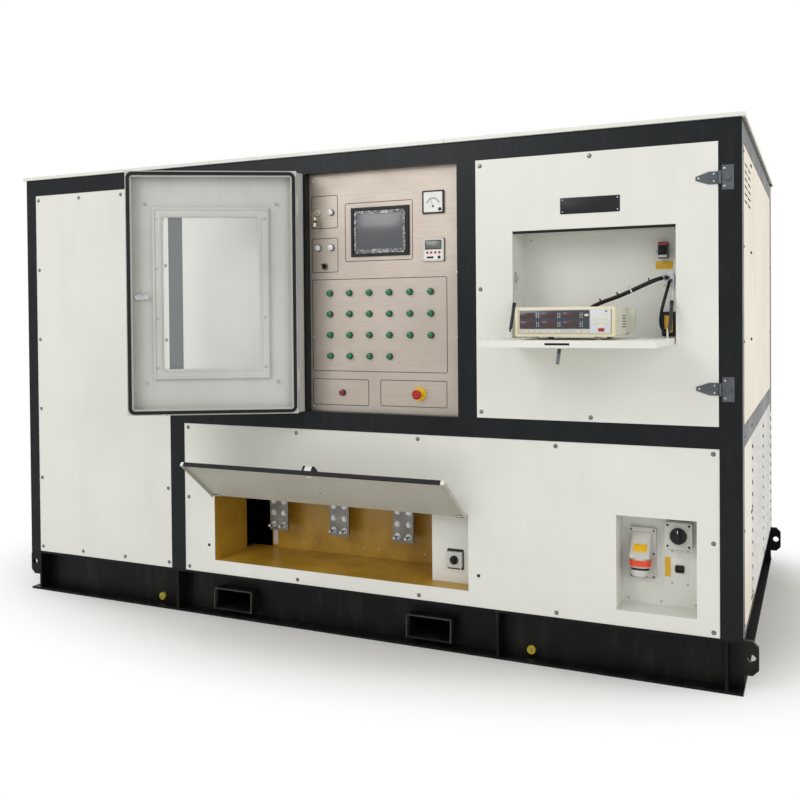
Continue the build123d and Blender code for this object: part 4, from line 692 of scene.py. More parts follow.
@dataclass
class Cabinet:
    """Tube frame, cladding, roof, and their screws and plugs."""

    screw_radius: float = 7.0

    def build(self) -> None:
        """Dress the frame and cladding, and fit the small metalwork."""
        dress(FRAME_ENAMEL, "frame_posts", "frame_rails")
        dress(WHITE_POWDER, "roof_sheets", "front_panels", "lower_front_panel", "rear_panels")
        dress(CREAM_POWDER, "right_side_panels", "left_side_panels")
        dress(LOUVRE_POWDER, "intake_louvre_panel")
        self.panel_screws()
        self.side_screws()
        self.louvre_shade_strips()
        self.roof_plugs()

    def panel_screws(self) -> None:
        """Fit the screws of the left and the lower front panels."""
        piece = Piece(front(PLACES.panel_face))
        places = [(x, z) for x in (-1652.0, -850.0) for z in spaced(225.0, 1995.0, 6)]
        places += [(x, z) for x in spaced(-1652.0, -850.0, 4)[1:-1] for z in (225.0, 1995.0)]
        places += [(x, z) for x in spaced(-730.0, 1628.0, 5) for z in (219.0, 876.0)]
        places += [(x, 547.0) for x in (-730.0, 1628.0)]
        for x, z in places:
            piece.screw(SCREW_STEEL, x, z, 0.0, self.screw_radius)
            piece.turned(SOFT_BLACK, x, z, 0.0, ((self.screw_radius + 1.6, 0),
                                                 (self.screw_radius + 1.6, 0.5), (0, 0.5)), 14)
        for x, z in ((-617.0, 330.0), (715.0, 330.0)):
            piece.turned(BLACK_OXIDE, x, z, 0.0, ((7.0, 0), (7.0, 1.5), (3.5, 2.0), (0, 0.5)), 18)
        piece.finish("front_panel_screws", "enclosure", "panel_white")

    def louvre_shade_strips(self) -> None:
        """Lay thin black strips along the louvres' open mouths as painted shade under the blades."""
        for side, name in ((1, "right"), (-1, "left")):
            piece = Piece(facing((side * 1720.0, 0, 0), (0, side, 0), (0, 0, 1)))
            for column in (-177.35, 577.35) if side > 0 else (-577.35, 177.35):
                for row in range(13):
                    # Painted shade: a thin black strip under each blade, where the louvre's mouth
                    # lies in shadow.
                    piece.block(SOFT_BLACK, column, 536.0 + (row - 6) * 50.0, 0.0, 658.0, 2.4, 3.0)
            piece.finish(f"{name}_louvre_painted_shade", "enclosure", "black_plastic")

    def roof_plugs(self) -> None:
        """Cap the roof's four lifting points with black plugs."""
        piece = Piece(facing((0, 0, 2115.0), (1, 0, 0), (0, 1, 0)))
        for x in (-1697.0, 1697.0):
            for y in (-1002.0, 1002.0):
                piece.turned(SOFT_BLACK, x, y, 0.0, (
                    (17.3, 0), (17.3, 4.5), (15.5, 6.05), (0, 6.05),
                ), 24)
        piece.finish("roof_plug_caps", "enclosure", "black_plastic")

    def side_screws(self) -> None:
        """Fit screws down the edges of the two side walls and the rear wall."""
        for side, name in ((1, "right"), (-1, "left")):
            place = facing((side * 1728.0, 0, 0), (0, side, 0), (0, 0, 1))
            piece = Piece(place)
            for across in (-940.0, -575.0, -535.0, 935.0):
                for z in spaced(230.0, 1990.0, 6):
                    piece.screw(BLACK_OXIDE, across * side, z, 0.0, 6.0)
            piece.finish(f"{name}_wall_screws", "enclosure", "panel_white")
        rear = Piece(facing((0, 1033.0, 0), (-1, 0, 0), (0, 0, 1)))
        for x in (-1652.0, -632.0, -508.0, 508.0, 632.0, 1652.0):
            for z in spaced(230.0, 1990.0, 6):
                rear.screw(BLACK_OXIDE, x, z, 0.0, 6.0)
        rear.finish("rear_wall_screws", "enclosure", "panel_white")


@dataclass
class ControlPanel:
    """Brushed plate with its printed boxes, lamps, screen, meters and switches."""

    left: float = -82.0
    right: float = 632.0
    bottom: float = 975.0
    top: float = 2020.0
    line: float = 3.0
    lamp_rows: tuple[float, ...] = (1494.0, 1402.3, 1310.6, 1218.9)
    lamp_left: float = 18.0
    lamp_pitch: float = 96.0
    screen: tuple[float, float, float, float] = (127.0, 1650.0, 403.0, 1862.0)

    def build(self) -> None:
        """Dress the plate and fit everything that shows on it."""
        dress(PLATE_METAL, "control_plate")
        dress(BLACK_ABS, "panel_instruments", "mode_selector")
        dress(GREEN_LENS, "panel_lamps")
        dress(KEY_BRASS, "control_key")
        dress(YELLOW_ABS, "estop_base")
        dress(RED_ABS, "estop_button")
        self.printed_boxes()
        self.plate_screws()
        self.lamps()
        self.screen_face()
        self.phase_meter()
        self.timer()
        self.switch_bezels()

    def printed_boxes(self) -> None:
        """Print the thin rounded boxes round the groups."""
        piece = Piece(front(PLACES.plate_face))
        boxes = (((-72, 1151), (572, 1556)), ((-72, 1780), (60, 1925)), ((-72, 1586), (60, 1738)),
                 ((95, 1630), (418, 1885)), ((-72, 1002), (205, 1118)), ((260, 1005), (569, 1119)))
        for low, high in boxes:
            piece.border(INK, low, high, 0.0, self.line, 0.25, 9.0)
        piece.finish("printed_boxes", "enclosure", "plate_champagne")

    def plate_screws(self) -> None:
        """Fit the plate's screws."""
        piece = Piece(front(PLACES.plate_face))
        for x in (self.left + 14, self.right - 14):
            for z in (self.bottom + 18, 1300.0, 1570.0, self.top - 30):
                piece.screw(ZINC, x, z, 0.0, 5.5)
        piece.finish("plate_screws", "enclosure", "zinc_steel")

    def lamps(self) -> None:
        """Build the pilot lamps: a black bezel, a gasket shoulder and a flat cap."""
        for name, finish, places in (
            ("green_lamps", GREEN_LENS, self.green_places()),
            ("white_lamps", WHITE_LENS, [(27.0, 1850.0), (-37.0, 1695.0), (27.0, 1695.0)]),
            ("alarm_lamp", RED_LENS, [(77.0, 1058.0)]),
        ):
            piece = Piece(front(PLACES.plate_face))
            for x, z in places:
                piece.turned(BLACK_ABS, x, z, 0.0, (
                    (0, 0), (14.5, 0), (14.5, 3.2), (14.0, 4.6), (13.0, 5.0), (12.7, 4.4),
                    (0, 4.4),
                ), 28)
                piece.turned(finish, x, z, 4.4, (
                    (0, 0), (12.4, 0), (12.4, 8.2), (11.8, 9.8), (10.2, 10.6), (0, 10.9),
                ), 28)
            stands = ("panel_lamps",) if name == "green_lamps" else ()
            piece.finish(name, "enclosure", "green_lens", stands)

    def green_places(self) -> list[tuple[float, float]]:
        """Places of the green lamps, six to a row with two more bare on the last."""
        return [(self.lamp_left + column * self.lamp_pitch, z)
                for row, z in enumerate(self.lamp_rows)
                for column in range(6 if row < 3 else 4)]

    def screen_face(self) -> None:
        """Fit the touch screen's glass and the wrinkled film left over it."""
        x0, z0, x1, z1 = self.screen
        piece = Piece(front(PLACES.plate_face - 7.0))
        wide, high = x1 - x0, z1 - z0
        cx, cz = (x0 + x1) / 2, (z0 + z1) / 2
        piece.block(SCREEN_GLASS, cx, cz, 0.0, wide - 44, high - 44, 0.6, 0.2)
        piece.border(BLACK_ABS, (x0 + 2, z0 + 2), (x1 - 2, z1 - 2), 0.0, 9.0, 2.4, 6.0)
        piece.finish("screen_glass", "enclosure", "black_plastic")
        self.film(cx, cz, wide, high)

    def film(self, cx: float, cz: float, wide: float, high: float) -> None:
        """Lay a loose protective film over the screen, creased along its edges.

        Args:
            cx: Middle across.
            cz: Middle up.
            wide: Width.
            high: Height.
        """
        piece = Piece(front(PLACES.plate_face - 7.8))
        bands = ((cx, cz + high / 2 - 23, wide - 40, 14.0), (cx, cz - high / 2 + 22, wide - 44,
                                                             18.0),
                 (cx - wide / 2 + 22, cz, 9.0, high - 50), (cx + wide / 2 - 22, cz, 12.0,
                                                            high - 46))
        for x, z, width, height in bands:
            part = bmesh.new()
            bmesh.ops.create_grid(part, x_segments=max(int(width / 3), 4),
                                  y_segments=max(int(height / 3), 4), size=0.5)
            bmesh.ops.transform(part, matrix=Matrix.Translation((x, z, 0))
                                @ Matrix.Diagonal((width, height, 1, 1)), verts=part.verts)
            for vert in part.verts:
                wave = noise.turbulence(vert.co * 0.055, 3, False, noise_basis="PERLIN_ORIGINAL")
                ripple = noise.noise(vert.co * 0.16)
                vert.co.z += 1.1 + 2.2 * wave + 0.9 * ripple
                vert.co.x += 1.2 * ripple
            bmesh.ops.solidify(part, geom=part.faces[:], thickness=0.12)
            piece.take(part, FILM)
        piece.finish("screen_film", "enclosure", "black_plastic")

    def phase_meter(self) -> None:
        """Fit the moving-needle meter's white dial, arc and needle."""
        piece = Piece(front(PLACES.plate_face - 7.0))
        x, z, half = 514.0, 1867.0, 48.0
        piece.block(DIAL_WHITE, x, z, -0.3, 84.0, 84.0, 0.8, 0.0, 3.0)
        piece.border(BLACK_ABS, (x - half, z - half), (x + half, z + half), 0.0, 5.0, 2.4, 4.0)
        for step in spaced(20.0, 160.0, 29):
            turn = math.radians(step)
            length = 7.0 if round(step) % 20 == 0 else 4.5
            reach = 33.0 - length / 2
            piece.block(INK, x + reach * math.cos(turn), z - 14 + reach * math.sin(turn), 0.5,
                        length, 1.1, 0.2, spin=step)
        piece.hoop(INK, (x, z - 14, 0.6), 27.0, 0.5, Matrix.Rotation(math.radians(20), 4, "Z"),
                   math.radians(140))
        piece.block(RED_ABS, x - 8, z + 2, 0.8, 36.0, 1.0, 0.4, spin=116)
        piece.turned(BLACK_ABS, x + 31, z - 31, 0.5, ((7.5, 0), (7.5, 1.0), (6, 1.6), (0, 1.6)),
                     20)
        piece.turned(BLACK_ABS, x, z - 18, 0.5, ((4, 0), (4, 1.6), (3, 2.2), (0, 2.2)), 18)
        piece.finish("phase_meter_face", "enclosure", "white_plastic")

    def timer(self) -> None:
        """Fit the timer's grey frame, display, four squares and button."""
        piece = Piece(front(PLACES.plate_face - 7.0))
        x, z, half = 514.0, 1668.0, 48.0
        piece.border(GREY_ABS, (x - half, z - half), (x + half, z + half), 0.0, 7.0, 2.2, 4.0)
        piece.block(DIAL_WHITE, x, z, -0.3, 84.0, 84.0, 0.9, 0.0, 2.0)
        piece.block(LCD, x, z + 20, 0.6, 66.0, 32.0, 1.0, 0.4, 2.0)
        piece.border(BLACK_ABS, (x - 37, z + 1), (x + 37, z + 39), 0.6, 3.0, 1.3, 3.0)
        for across in (-27.0, -9.0, 9.0, 27.0):
            piece.block(RED_ABS, x + across, z - 12, 0.6, 10.0, 10.0, 0.8, 0.2)
        piece.turned(BLACK_ABS, x + 26, z - 32, 0.6, ((6.5, 0), (6.5, 1.4), (5, 1.9), (0, 1.9)),
                     20)
        piece.block(BLACK_ABS, x - 14, z - 32, 0.6, 30.0, 8.0, 0.7, 0.2)
        piece.finish("timer_face", "enclosure", "grey_plastic")

    def switch_bezels(self) -> None:
        """Fit the switch bezels, the key ring with its tags, and the selector's white line."""
        bezels = Piece(front(PLACES.plate_face))
        for finish, x, z in ((ZINC, -41.0, 1850.0), (BLACK_ABS, -7.0, 1613.0)):
            bezels.turned(finish, x, z, 0.0, (
                (15.2, 0), (15.2, 3.5), (14.0, 6.0), (13.2, 6.3), (12.4, 5.5), (8.0, 5.5),
            ), 28)
        bezels.finish("switch_bezels", "enclosure", "zinc_steel")
        key = Piece(front(PLACES.plate_face - 30.0))
        key.hoop(ZINC, (-41.0, 1836.0, 4.0), 12.0, 1.0, Matrix.Rotation(math.radians(80), 4, "Y"))
        key.block(KEY_BRASS, -41.0, 1806.0, 1.0, 9.0, 34.0, 2.0, 0.4, 3.0, spin=6)
        key.turned(KEY_BRASS, -41.5, 1820.0, 1.0, ((9.5, 0), (9.5, 2.0), (8.5, 2.5), (0, 2.5)), 22)
        key.block(SOFT_BLACK, -36.0, 1797.0, 4.0, 17.0, 30.0, 2.2, 0.5, 3.0, spin=-9)
        key.block(WHITE_ABS, -36.4, 1795.0, 6.2, 12.0, 18.0, 0.4, 0.1, 1.0, spin=-9)
        key.finish("key_bunch", "control_key", "brass_key")
        mark = Piece(front(PLACES.plate_face - 23.0))
        mark.block(WHITE_ABS, -11.0, 1609.0, 0.0, 9.0, 1.6, 0.4, spin=45)
        mark.finish("selector_mark", "mode_selector", "white_plastic")


@dataclass
class ControlDoor:
    """Windowed door, opened wide, seen from its inner side."""

    turn: float = 151.0
    axis: tuple[float, float] = (-92.0, -1085.0)
    middle: float = 1497.5
    skin: float = 2.0

    def build(self) -> None:
        """Dress the door and fit the metalwork on its inner side."""
        dress(GREY_POWDER, "hinge_stile", "door_panel", "door_window_frame")
        dress(SEAL, "door_gasket")
        dress(PANE, "door_window_pane")
        dress(ZINC, "door_lock")
        self.inner_metalwork()

    def place(self, depth: float) -> Matrix:
        """Face on the door's inner side.

        Args:
            depth: How far in from the hinge line the face lies.

        Returns:
            A place whose x runs from the hinge line and y up from the door's middle.
        """
        turn = math.radians(self.turn)
        along = Vector((math.cos(turn), -math.sin(turn), 0))
        inward = Vector((math.sin(turn), math.cos(turn), 0))
        origin = Vector((self.axis[0], self.axis[1], self.middle)) + inward * depth
        made = facing(tuple(origin), tuple(-along), (0, 0, 1))
        return made

    def inner_metalwork(self) -> None:
        """Fit the window surround's ridges, its screws and the two studs of the door."""
        piece = Piece(self.place(self.skin))
        piece.border(GREY_POWDER, (-618.0, -367.0), (-127.0, 367.0), 11.8, 7.0, 4.0, 6.0)
        piece.border(GREY_POWDER, (-589.0, -338.0), (-156.0, 338.0), 11.8, 5.0, 3.0, 14.0)
        for x in (-142.0, -603.0):
            for y in (321.0, 107.0, -107.0, -321.0):
                piece.screw(ZINC, x, y, 11.8, 5.5)
        for x in (-91.0, -654.0):
            for y in (386.0, -386.0):
                piece.turned(ZINC, x, y, 0.0, ((8, 0), (8, 4), (4, 4), (4, 15), (3, 16), (0,
                                                                                          16)), 16)
        piece.finish("door_inner_metalwork", "control_door", "door_inner_grey")


@dataclass
class ServiceDoor:
    """Right-hand door with its strap hinges and the meter's compartment."""

    compartment_back: float = -845.0
    opening: tuple[float, float, float, float] = (868.0, 1278.0, 1498.0, 1725.0)
    plate_low: tuple[float, float] = (1063.0, 1782.0)
    plate_high: tuple[float, float] = (1294.0, 1845.0)

    def build(self) -> None:
        """Dress the door and fit the plate, screws, seal and the gear on the back wall."""
        dress(WHITE_POWDER, "service_door", "meter_compartment")
        dress(STAINLESS, "hinge_straps", "hinge_fixed_leaves")
        dress(BLACK_ABS, "breaker_body", "breaker_toggle", "power_adapter")
        dress(ZINC, "cable_gland")
        self.door_face()
        self.strap_screws()
        self.back_wall()

    def door_face(self) -> None:
        """Fit the blank nameplate, the door's screws and the seal over the opening."""
        piece = Piece(front(PLACES.frame_face))
        (x0, z0), (x1, z1) = self.plate_low, self.plate_high
        piece.block(BLACK_ABS, (x0 + x1) / 2, (z0 + z1) / 2, 0.0, x1 - x0, z1 - z0, 1.6, 0.4, 4.0)
        for x in (x0 + 9, x1 - 9):
            for z in (z0 + 9, z1 - 9):
                piece.screw(ZINC, x, z, 1.6, 3.0)
        for x, z in ((733.0, 1001.0), (1178.0, 994.0), (733.0, 1497.0), (733.0, 1994.0),
                     (1178.0, 2001.0)):
            piece.screw(SCREW_STEEL, x, z, 0.0, 7.0)
            piece.turned(SOFT_BLACK, x, z, 0.0, ((8.6, 0), (8.6, 0.5), (0, 0.5)), 14)
        piece.finish("service_door_fittings", "service_door", "panel_white")
        seal = Piece(front(-1031.0))
        x0, z0, x1, z1 = self.opening
        seal.block(SEAL, (x0 + x1) / 2, z1 - 5.0, -18.0, x1 - x0 - 2, 9.0, 18.0, 3.0)
        seal.finish("opening_top_seal", "service_door", "seal_rubber")

    def strap_screws(self) -> None:
        """Fit the screws of each strap hinge and of its fixed leaf."""
        straps, leaves = Piece(front(-1041.0)), Piece(front(-1041.0))
        for z in (1115.0, 1885.0):
            straps.screw(ZINC, 1581.0, z, 0.0, 4.2)
            for up in (-13.0, 13.0):
                straps.screw(ZINC, 1634.0, z + up, 0.0, 4.2)
            for up in (-32.0, 32.0):
                leaves.screw(ZINC, 1671.0, z + up, 0.0, 4.2)
        straps.finish("strap_screws", "service_door", "zinc_steel")
        leaves.finish("leaf_screws", "enclosure", "zinc_steel")

    def back_wall(self) -> None:
        """Fit the breaker's marks, the labels, the gland's screws and the wall's screws."""
        piece = Piece(front(self.compartment_back))
        piece.block(BLACK_ABS, 1428.0, 1640.0, 39.9, 30.0, 30.0, 6.0, 1.5, 1.0)
        piece.block(RED_ABS, 1428.0, 1663.5, 40.0, 34.0, 9.0, 1.2, 0.4)
        piece.block(GREY_ABS, 1428.0, 1616.0, 40.0, 34.0, 9.0, 1.0, 0.4)
        for x in (1398.0, 1459.0):
            piece.hexagon(ZINC, x, 1637.0, 0.0, 9.0, 5.0)
            piece.turned(ZINC, x, 1637.0, 5.0, ((2.5, 0), (2.5, 7), (0, 7.5)), 12)
        piece.block(TAG_YELLOW, 1428.0, 1583.0, 0.0, 66.0, 31.0, 0.8, 0.2, 1.0)
        piece.block(WHITE_ABS, 1452.0, 1528.0, 4.0, 54.0, 54.0, 1.2, 0.4, 4.0)
        for x in (1431.0, 1473.0):
            for z in (1507.0, 1549.0):
                piece.screw(ZINC, x, z, 5.2, 3.0)
        for x in (890.0, 1476.0):
            for z in (1300.0, 1700.0):
                piece.screw(ZINC, x, z, 0.0, 4.0)
        piece.finish("back_wall_gear", "service_door", "panel_white")
        toggles = Piece(front(-897.0))
        toggles.block(BLACK_ABS, 1421.5, 1640.0, -10.0, 10.0, 8.0, 11.0, 1.0, 1.0)
        toggles.block(BLACK_ABS, 1434.5, 1640.0, -10.0, 10.0, 8.0, 11.0, 1.0, 1.0)
        toggles.finish("toggle_pair", "breaker_toggle", "black_plastic")
        label = Piece(front(-875.0))
        label.block(TAG_YELLOW, 1448.0, 1352.0, 0.0, 30.0, 66.0, 0.5, 0.1, 1.0)
        label.block(INK, 1448.0, 1352.0, 0.45, 22.0, 56.0, 0.15)
        label.block(TAG_YELLOW, 1448.0, 1352.0, 0.5, 20.6, 54.6, 0.2)
        label.finish("adapter_label", "service_door", "black_plastic")


@dataclass
class MeterShelf:
    """Drop-leaf shelf, its struts and latch, and the bench power meter on it."""

    face: float = -1367.0

    def build(self) -> None:
        """Dress the shelf and the meter, and fit the meter's face and small metalwork."""
        dress(WHITE_POWDER, "shelf_panel")
        dress(STAINLESS, "shelf_latch")
        dress(ZINC, "left_strut_rod", "right_strut_rod")
        dress(BLACK_OXIDE, "left_strut_tube", "right_strut_tube")
        dress(CASE_ENAMEL, "meter_case")
        dress(IVORY_ABS, "meter_front")
        dress(RED_ABS, "meter_power_button")
        self.meter_face()
        self.case_trim()
        self.shelf_metalwork()

    def meter_face(self) -> None:
        """Fit the display window, its six displays, the lights and the keys."""
        piece = Piece(front(self.face))
        piece.block(GREY_ABS, 1162.0, 1367.5, -0.2, 330.0, 87.0, 0.8, 0.2, 2.0)
        piece.block(METER_WINDOW, 1125.5, 1374.5, 0.5, 253.0, 66.0, 0.6, 0.1, 1.0)
        piece.block(LIGHT_PANEL, 1290.0, 1367.5, 0.5, 70.0, 84.0, 0.5, 0.1, 1.0)
        for z in (1389.5, 1358.0):
            for x, width in ((1028.0, 54.0), (1107.0, 52.0), (1186.0, 54.0)):
                piece.block(DIGIT_RED, x, z, 1.0, width, 21.0, 0.5, 0.1, 1.0)
            for x in (1062.0, 1069.0, 1139.5, 1146.5, 1219.5, 1226.5):
                for up in (-7.5, -2.5, 2.5, 7.5):
                    piece.block(LIGHT_PANEL, x, z + up, 1.0, 3.2, 1.8, 0.3)
        for x in (1022.4, 1043.5, 1064.6, 1086.3, 1120.5, 1142.2, 1213.0, 1234.7):
            piece.block(IVORY_ABS, x, 1332.0, 0.5, 14.0, 6.5, 2.6, 0.7, 1.2)
        piece.block(IVORY_ABS, 1241.5, 1390.0, 1.0, 13.0, 7.5, 2.4, 0.7, 1.2)
        for x in (1273.8, 1291.2, 1308.6):
            for z in (1377.5, 1362.5):
                piece.turned(IVORY_ABS, x, z, 0.9, ((5.4, 0), (5.4, 1.4), (4.6, 2.3), (0, 2.5)),
                             18)
        piece.block(PANEL_BLUE, 1310.0, 1403.0, 0.9, 8.5, 5.0, 0.3)
        piece.block(IVORY_ABS, 1310.0, 1395.5, 0.9, 11.0, 6.0, 2.0, 0.6, 1.0)
        piece.finish("meter_face", "drop_shelf", "ivory_plastic")
        ring = Piece(front(self.face))
        ring.border(GREY_ABS, (1280.0, 1330.0), (1306.0, 1346.0), 0.8, 2.4, 0.8, 2.0)
        ring.finish("meter_button_frame", "drop_shelf", "grey_plastic")

    def case_trim(self) -> None:
        """Fit the case's side vents, screws and a black square on its rear."""
        for side, x, name in ((1, 1337.4, "right"), (-1, 983.6, "left")):
            piece = Piece(facing((x, 0, 0), (0, side, 0), (0, 0, 1)))
            for row in range(5):
                piece.block(SOFT_BLACK, side * -1190.0, 1346.0 + 10 * row, 0.0, 62.0, 3.0, 0.4)
            for across in (-1315.0, -1112.0):
                piece.screw(ZINC, side * across, 1367.0, 0.0, 3.4)
            piece.finish(f"meter_{name}_trim", "drop_shelf", "ivory_plastic")
        rear = Piece(facing((0, -1087.0, 0), (-1, 0, 0), (0, 0, 1)))
        rear.block(SOFT_BLACK, -1250.0, 1372.0, -0.2, 40.0, 40.0, 1.0, 0.3, 3.0)
        rear.finish("meter_rear_trim", "drop_shelf", "ivory_plastic")

    def shelf_metalwork(self) -> None:
        """Fit the shelf's slot lining, its small screws and the strut brackets' plates."""
        top = Piece(facing((0, 0, 1302.0), (1, 0, 0), (0, 1, 0)))
        for x, y in ((905.0, -1440.0), (905.0, -1250.0), (905.0, -1060.0), (1461.0, -1440.0),
                     (1461.0, -1250.0), (1461.0, -1060.0), (938.0, -1210.0), (1428.0, -1210.0)):
            top.screw(ZINC, x, y, 0.0, 4.5)
        top.finish("shelf_screws", "drop_shelf", "zinc_steel")
        slot = Piece(front(-1462.0))
        slot.block(SEAL, 1160.0, 1290.0, -24.0, 87.0, 7.4, 24.2)
        slot.finish("shelf_slot_lining", "drop_shelf", "black_plastic")
        low = Piece(facing((0, 0, 1275.0), (1, 0, 0), (0, -1, 0)))
        for x in (1130.0, 1190.0):
            low.block(STAINLESS, x, 1429.0, -0.2, 38.0, 44.0, 0.9, 0.3)
            low.screw(ZINC, x, 1429.0, 0.7, 3.0)
        low.finish("latch_plate_face", "drop_shelf", "dark_stainless")
        for side, x, name in ((1, 870.0, "left"), (-1, 1496.0, "right")):
            piece = Piece(facing((x, 0, 0), (0, side, 0), (0, 0, 1)))
            piece.block(ZINC, side * -998.0, 1543.0, -1.9, 26.0, 44.0, 2.6, 0.5, 3.0)
            for up in (-15.0, 15.0):
                piece.screw(ZINC, side * -998.0, 1543.0 + up, 0.7, 3.6)
            piece.finish(f"strut_wall_plate_{name}", "service_door", "zinc_steel")
        for x, tube in ((880.0, "left_tube"), (1486.0, "right_tube")):
            piece = Piece(facing((x, -1105.0, 1331.0), (1, 0, 0), (0, 0.45058, 0.89274)))
            piece.turned(BLACK_ABS, 0, 112.0, 0, (
                (6.9, -9.0), (7.3, -7.0), (7.3, 7.0), (6.9, 9.0),
            ), 20, "Y")
            piece.finish(f"{tube}_collar", tube, "black_plastic")


@dataclass
class Cables:
    """The meter's loom, which runs to the meter on the shelf, and the adapter's lead."""

    loom_size: float = 0.016
    loom_length: float = 0.6399
    lead_size: float = 0.012
    lead_length: float = 0.3325
    loom_route: tuple[Point, ...] = (
        (1.446, -0.8933, 1.532), (1.446, -0.94, 1.532), (1.42, -0.99, 1.522), (1.375, -1.015, 1.5),
        (1.32, -1.015, 1.475), (1.265, -0.995, 1.455), (1.212, -0.965, 1.44), (1.16, -0.94, 1.42),
        (1.12, -0.932, 1.385), (1.1, -0.95, 1.345), (1.095, -0.995, 1.325),
        (1.095, -1.0867, 1.325),
    )
    lead_route: tuple[Point, ...] = (
        (1.461, -0.8933, 1.52), (1.461, -0.93, 1.52), (1.46, -0.965, 1.495), (1.45, -0.985, 1.45),
        (1.438, -0.99, 1.4), (1.432, -0.975, 1.355), (1.436, -0.94, 1.33), (1.44, -0.905, 1.326),
        (1.44, -0.8753, 1.326),
    )
    bend_start: Point = (1.11, -0.955, 1.345)
    bend_end: Point = (1.09, -1.085, 1.322)

    def build(self) -> None:
        """Build both cables and the ties on the loom."""
        self.lead()
        self.loom()

    def spline(self, name: str, route: Sequence[Point]) -> bpy.types.Object:
        """Make a curve of one open spline through a route's control points.

        Args:
            name: The curve's name.
            route: Control points in metres.

        Returns:
            The curve.
        """
        data = bpy.data.curves.new(name, "CURVE")
        data.dimensions = "3D"
        line = data.splines.new("NURBS")
        line.points.add(len(route) - 1)
        for point, place in zip(line.points, route):
            point.co = (*place, 1.0)
        line.order_u = 3
        line.use_endpoint_u = True
        line.resolution_u = 12
        made = bpy.data.objects.new(name, data)
        bpy.context.scene.collection.objects.link(made)
        return made

    def lead(self) -> None:
        """Build the adapter's lead as a round curve."""
        made = self.spline("adapter_cord", self.lead_route)
        made.data.bevel_depth = self.lead_size / 2
        made.data.bevel_resolution = 6
        made.data.use_fill_caps = True
        made.data.materials.append(CORD_RUBBER.material())
        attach(made, "service_door")
        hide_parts("adapter_lead")
        LOG.info("cord adapter_cord: %.4f m", self.lead_length)

    def centres(self) -> list[Vector]:
        """Read points along the loom's middle from its spline.

        Returns:
            The points, in metres.
        """
        guide = self.spline("loom_guide", self.loom_route)
        line = bpy.data.meshes.new_from_object(guide)
        points = [vert.co.copy() for vert in line.vertices]
        bpy.data.meshes.remove(line)
        bpy.data.objects.remove(guide)
        return points

    def frames(self, points: Sequence[Vector]) -> list[Matrix]:
        """Find places along the loom that turn as little as they can from one to the next.

        Args:
            points: Points along the loom's middle.

        Returns:
            A place for each point.
        """
        side = Vector((0, 0, 1))
        made = []
        for number, point in enumerate(points):
            ahead = points[min(number + 1, len(points) - 1)] - points[max(number - 1, 0)]
            ahead.normalize()
            side = (side - ahead * side.dot(ahead)).normalized()
            across = ahead.cross(side)
            turn = Matrix((side, across, ahead)).transposed().to_4x4()
            made.append(Matrix.Translation(point) @ turn)
        return made

    def tube(
        self, places: Sequence[Matrix], radius: float, sides: int = 20
    ) -> bmesh.types.BMesh:
        """Skin rings along places into a closed tube.

        Args:
            places: Where the rings lie.
            radius: Radius of the tube.
            sides: Sides of each ring.

        Returns:
            The tube's mesh.
        """
        part = bmesh.new()
        rings = [bmesh.ops.create_circle(part, segments=sides, radius=radius,
                                         matrix=place)["verts"]
                 for place in places]
        for near, far in zip(rings, rings[1:]):
            for step in range(sides):
                after = (step + 1) % sides
                part.faces.new((near[step], near[after], far[after], far[step]))
        part.faces.new(rings[0][::-1])
        part.faces.new(rings[-1])
        return part

    def loom(self) -> None:
        """Build the loom as a tube along its route, with ties round it."""
        points = self.centres()
        places = self.frames(points)
        piece = Piece(Matrix.Identity(4))
        piece.take(self.tube(places, self.loom_size / 2), CORD_RUBBER)
        data = bpy.data.meshes.new("meter_cord")
        piece.mesh.to_mesh(data)
        data.materials.append(CORD_RUBBER.material())
        made = bpy.data.objects.new("meter_cord", data)
        bpy.context.scene.collection.objects.link(made)
        ties = self.ties(places)
        for item in (made, ties):
            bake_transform(item)
        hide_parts("meter_loom")
        LOG.info("cord meter_cord: %.4f m along %d points", self.loom_length, len(points))

    def ties(self, places: Sequence[Matrix]) -> bpy.types.Object:
        """Fit nylon ties round the loom, black ones with stubs and two pale ones with tails.

        Args:
            places: Places along the loom.

        Returns:
            The ties, as one object.
        """
        piece = Piece(Matrix.Identity(4))
        count = len(places)
        for share, finish, tail in ((0.09, WHITE_ABS, 0.020), (0.2, SOFT_BLACK, 0.010),
                                    (0.33, WHITE_ABS, 0.034), (0.42, SOFT_BLACK, 0.010),
                                    (0.56, SOFT_BLACK, 0.010), (0.7, SOFT_BLACK, 0.010)):
            place = places[int(share * (count - 1))]
            band = bmesh.new()
            bmesh.ops.create_cone(band, cap_ends=True, segments=20,
                                  radius1=self.loom_size / 2 + 0.0009,
                                  radius2=self.loom_size / 2 + 0.0009, depth=0.0045, matrix=place)
            piece.take(band, finish)
            stub = bmesh.new()
            out = Matrix.Translation((self.loom_size / 2 + tail / 2, 0, 0))
            bmesh.ops.create_cube(stub, size=1.0,
                                  matrix=place @ out @ Matrix.Diagonal((tail, 0.005, 0.004, 1.0)))
            piece.take(stub, finish)
        data = bpy.data.meshes.new("loom_ties")
        piece.mesh.to_mesh(data)
        for item in piece.finishes:
            data.materials.append(item.material())
        made = bpy.data.objects.new("loom_ties", data)
        bpy.context.scene.collection.objects.link(made)
        return made


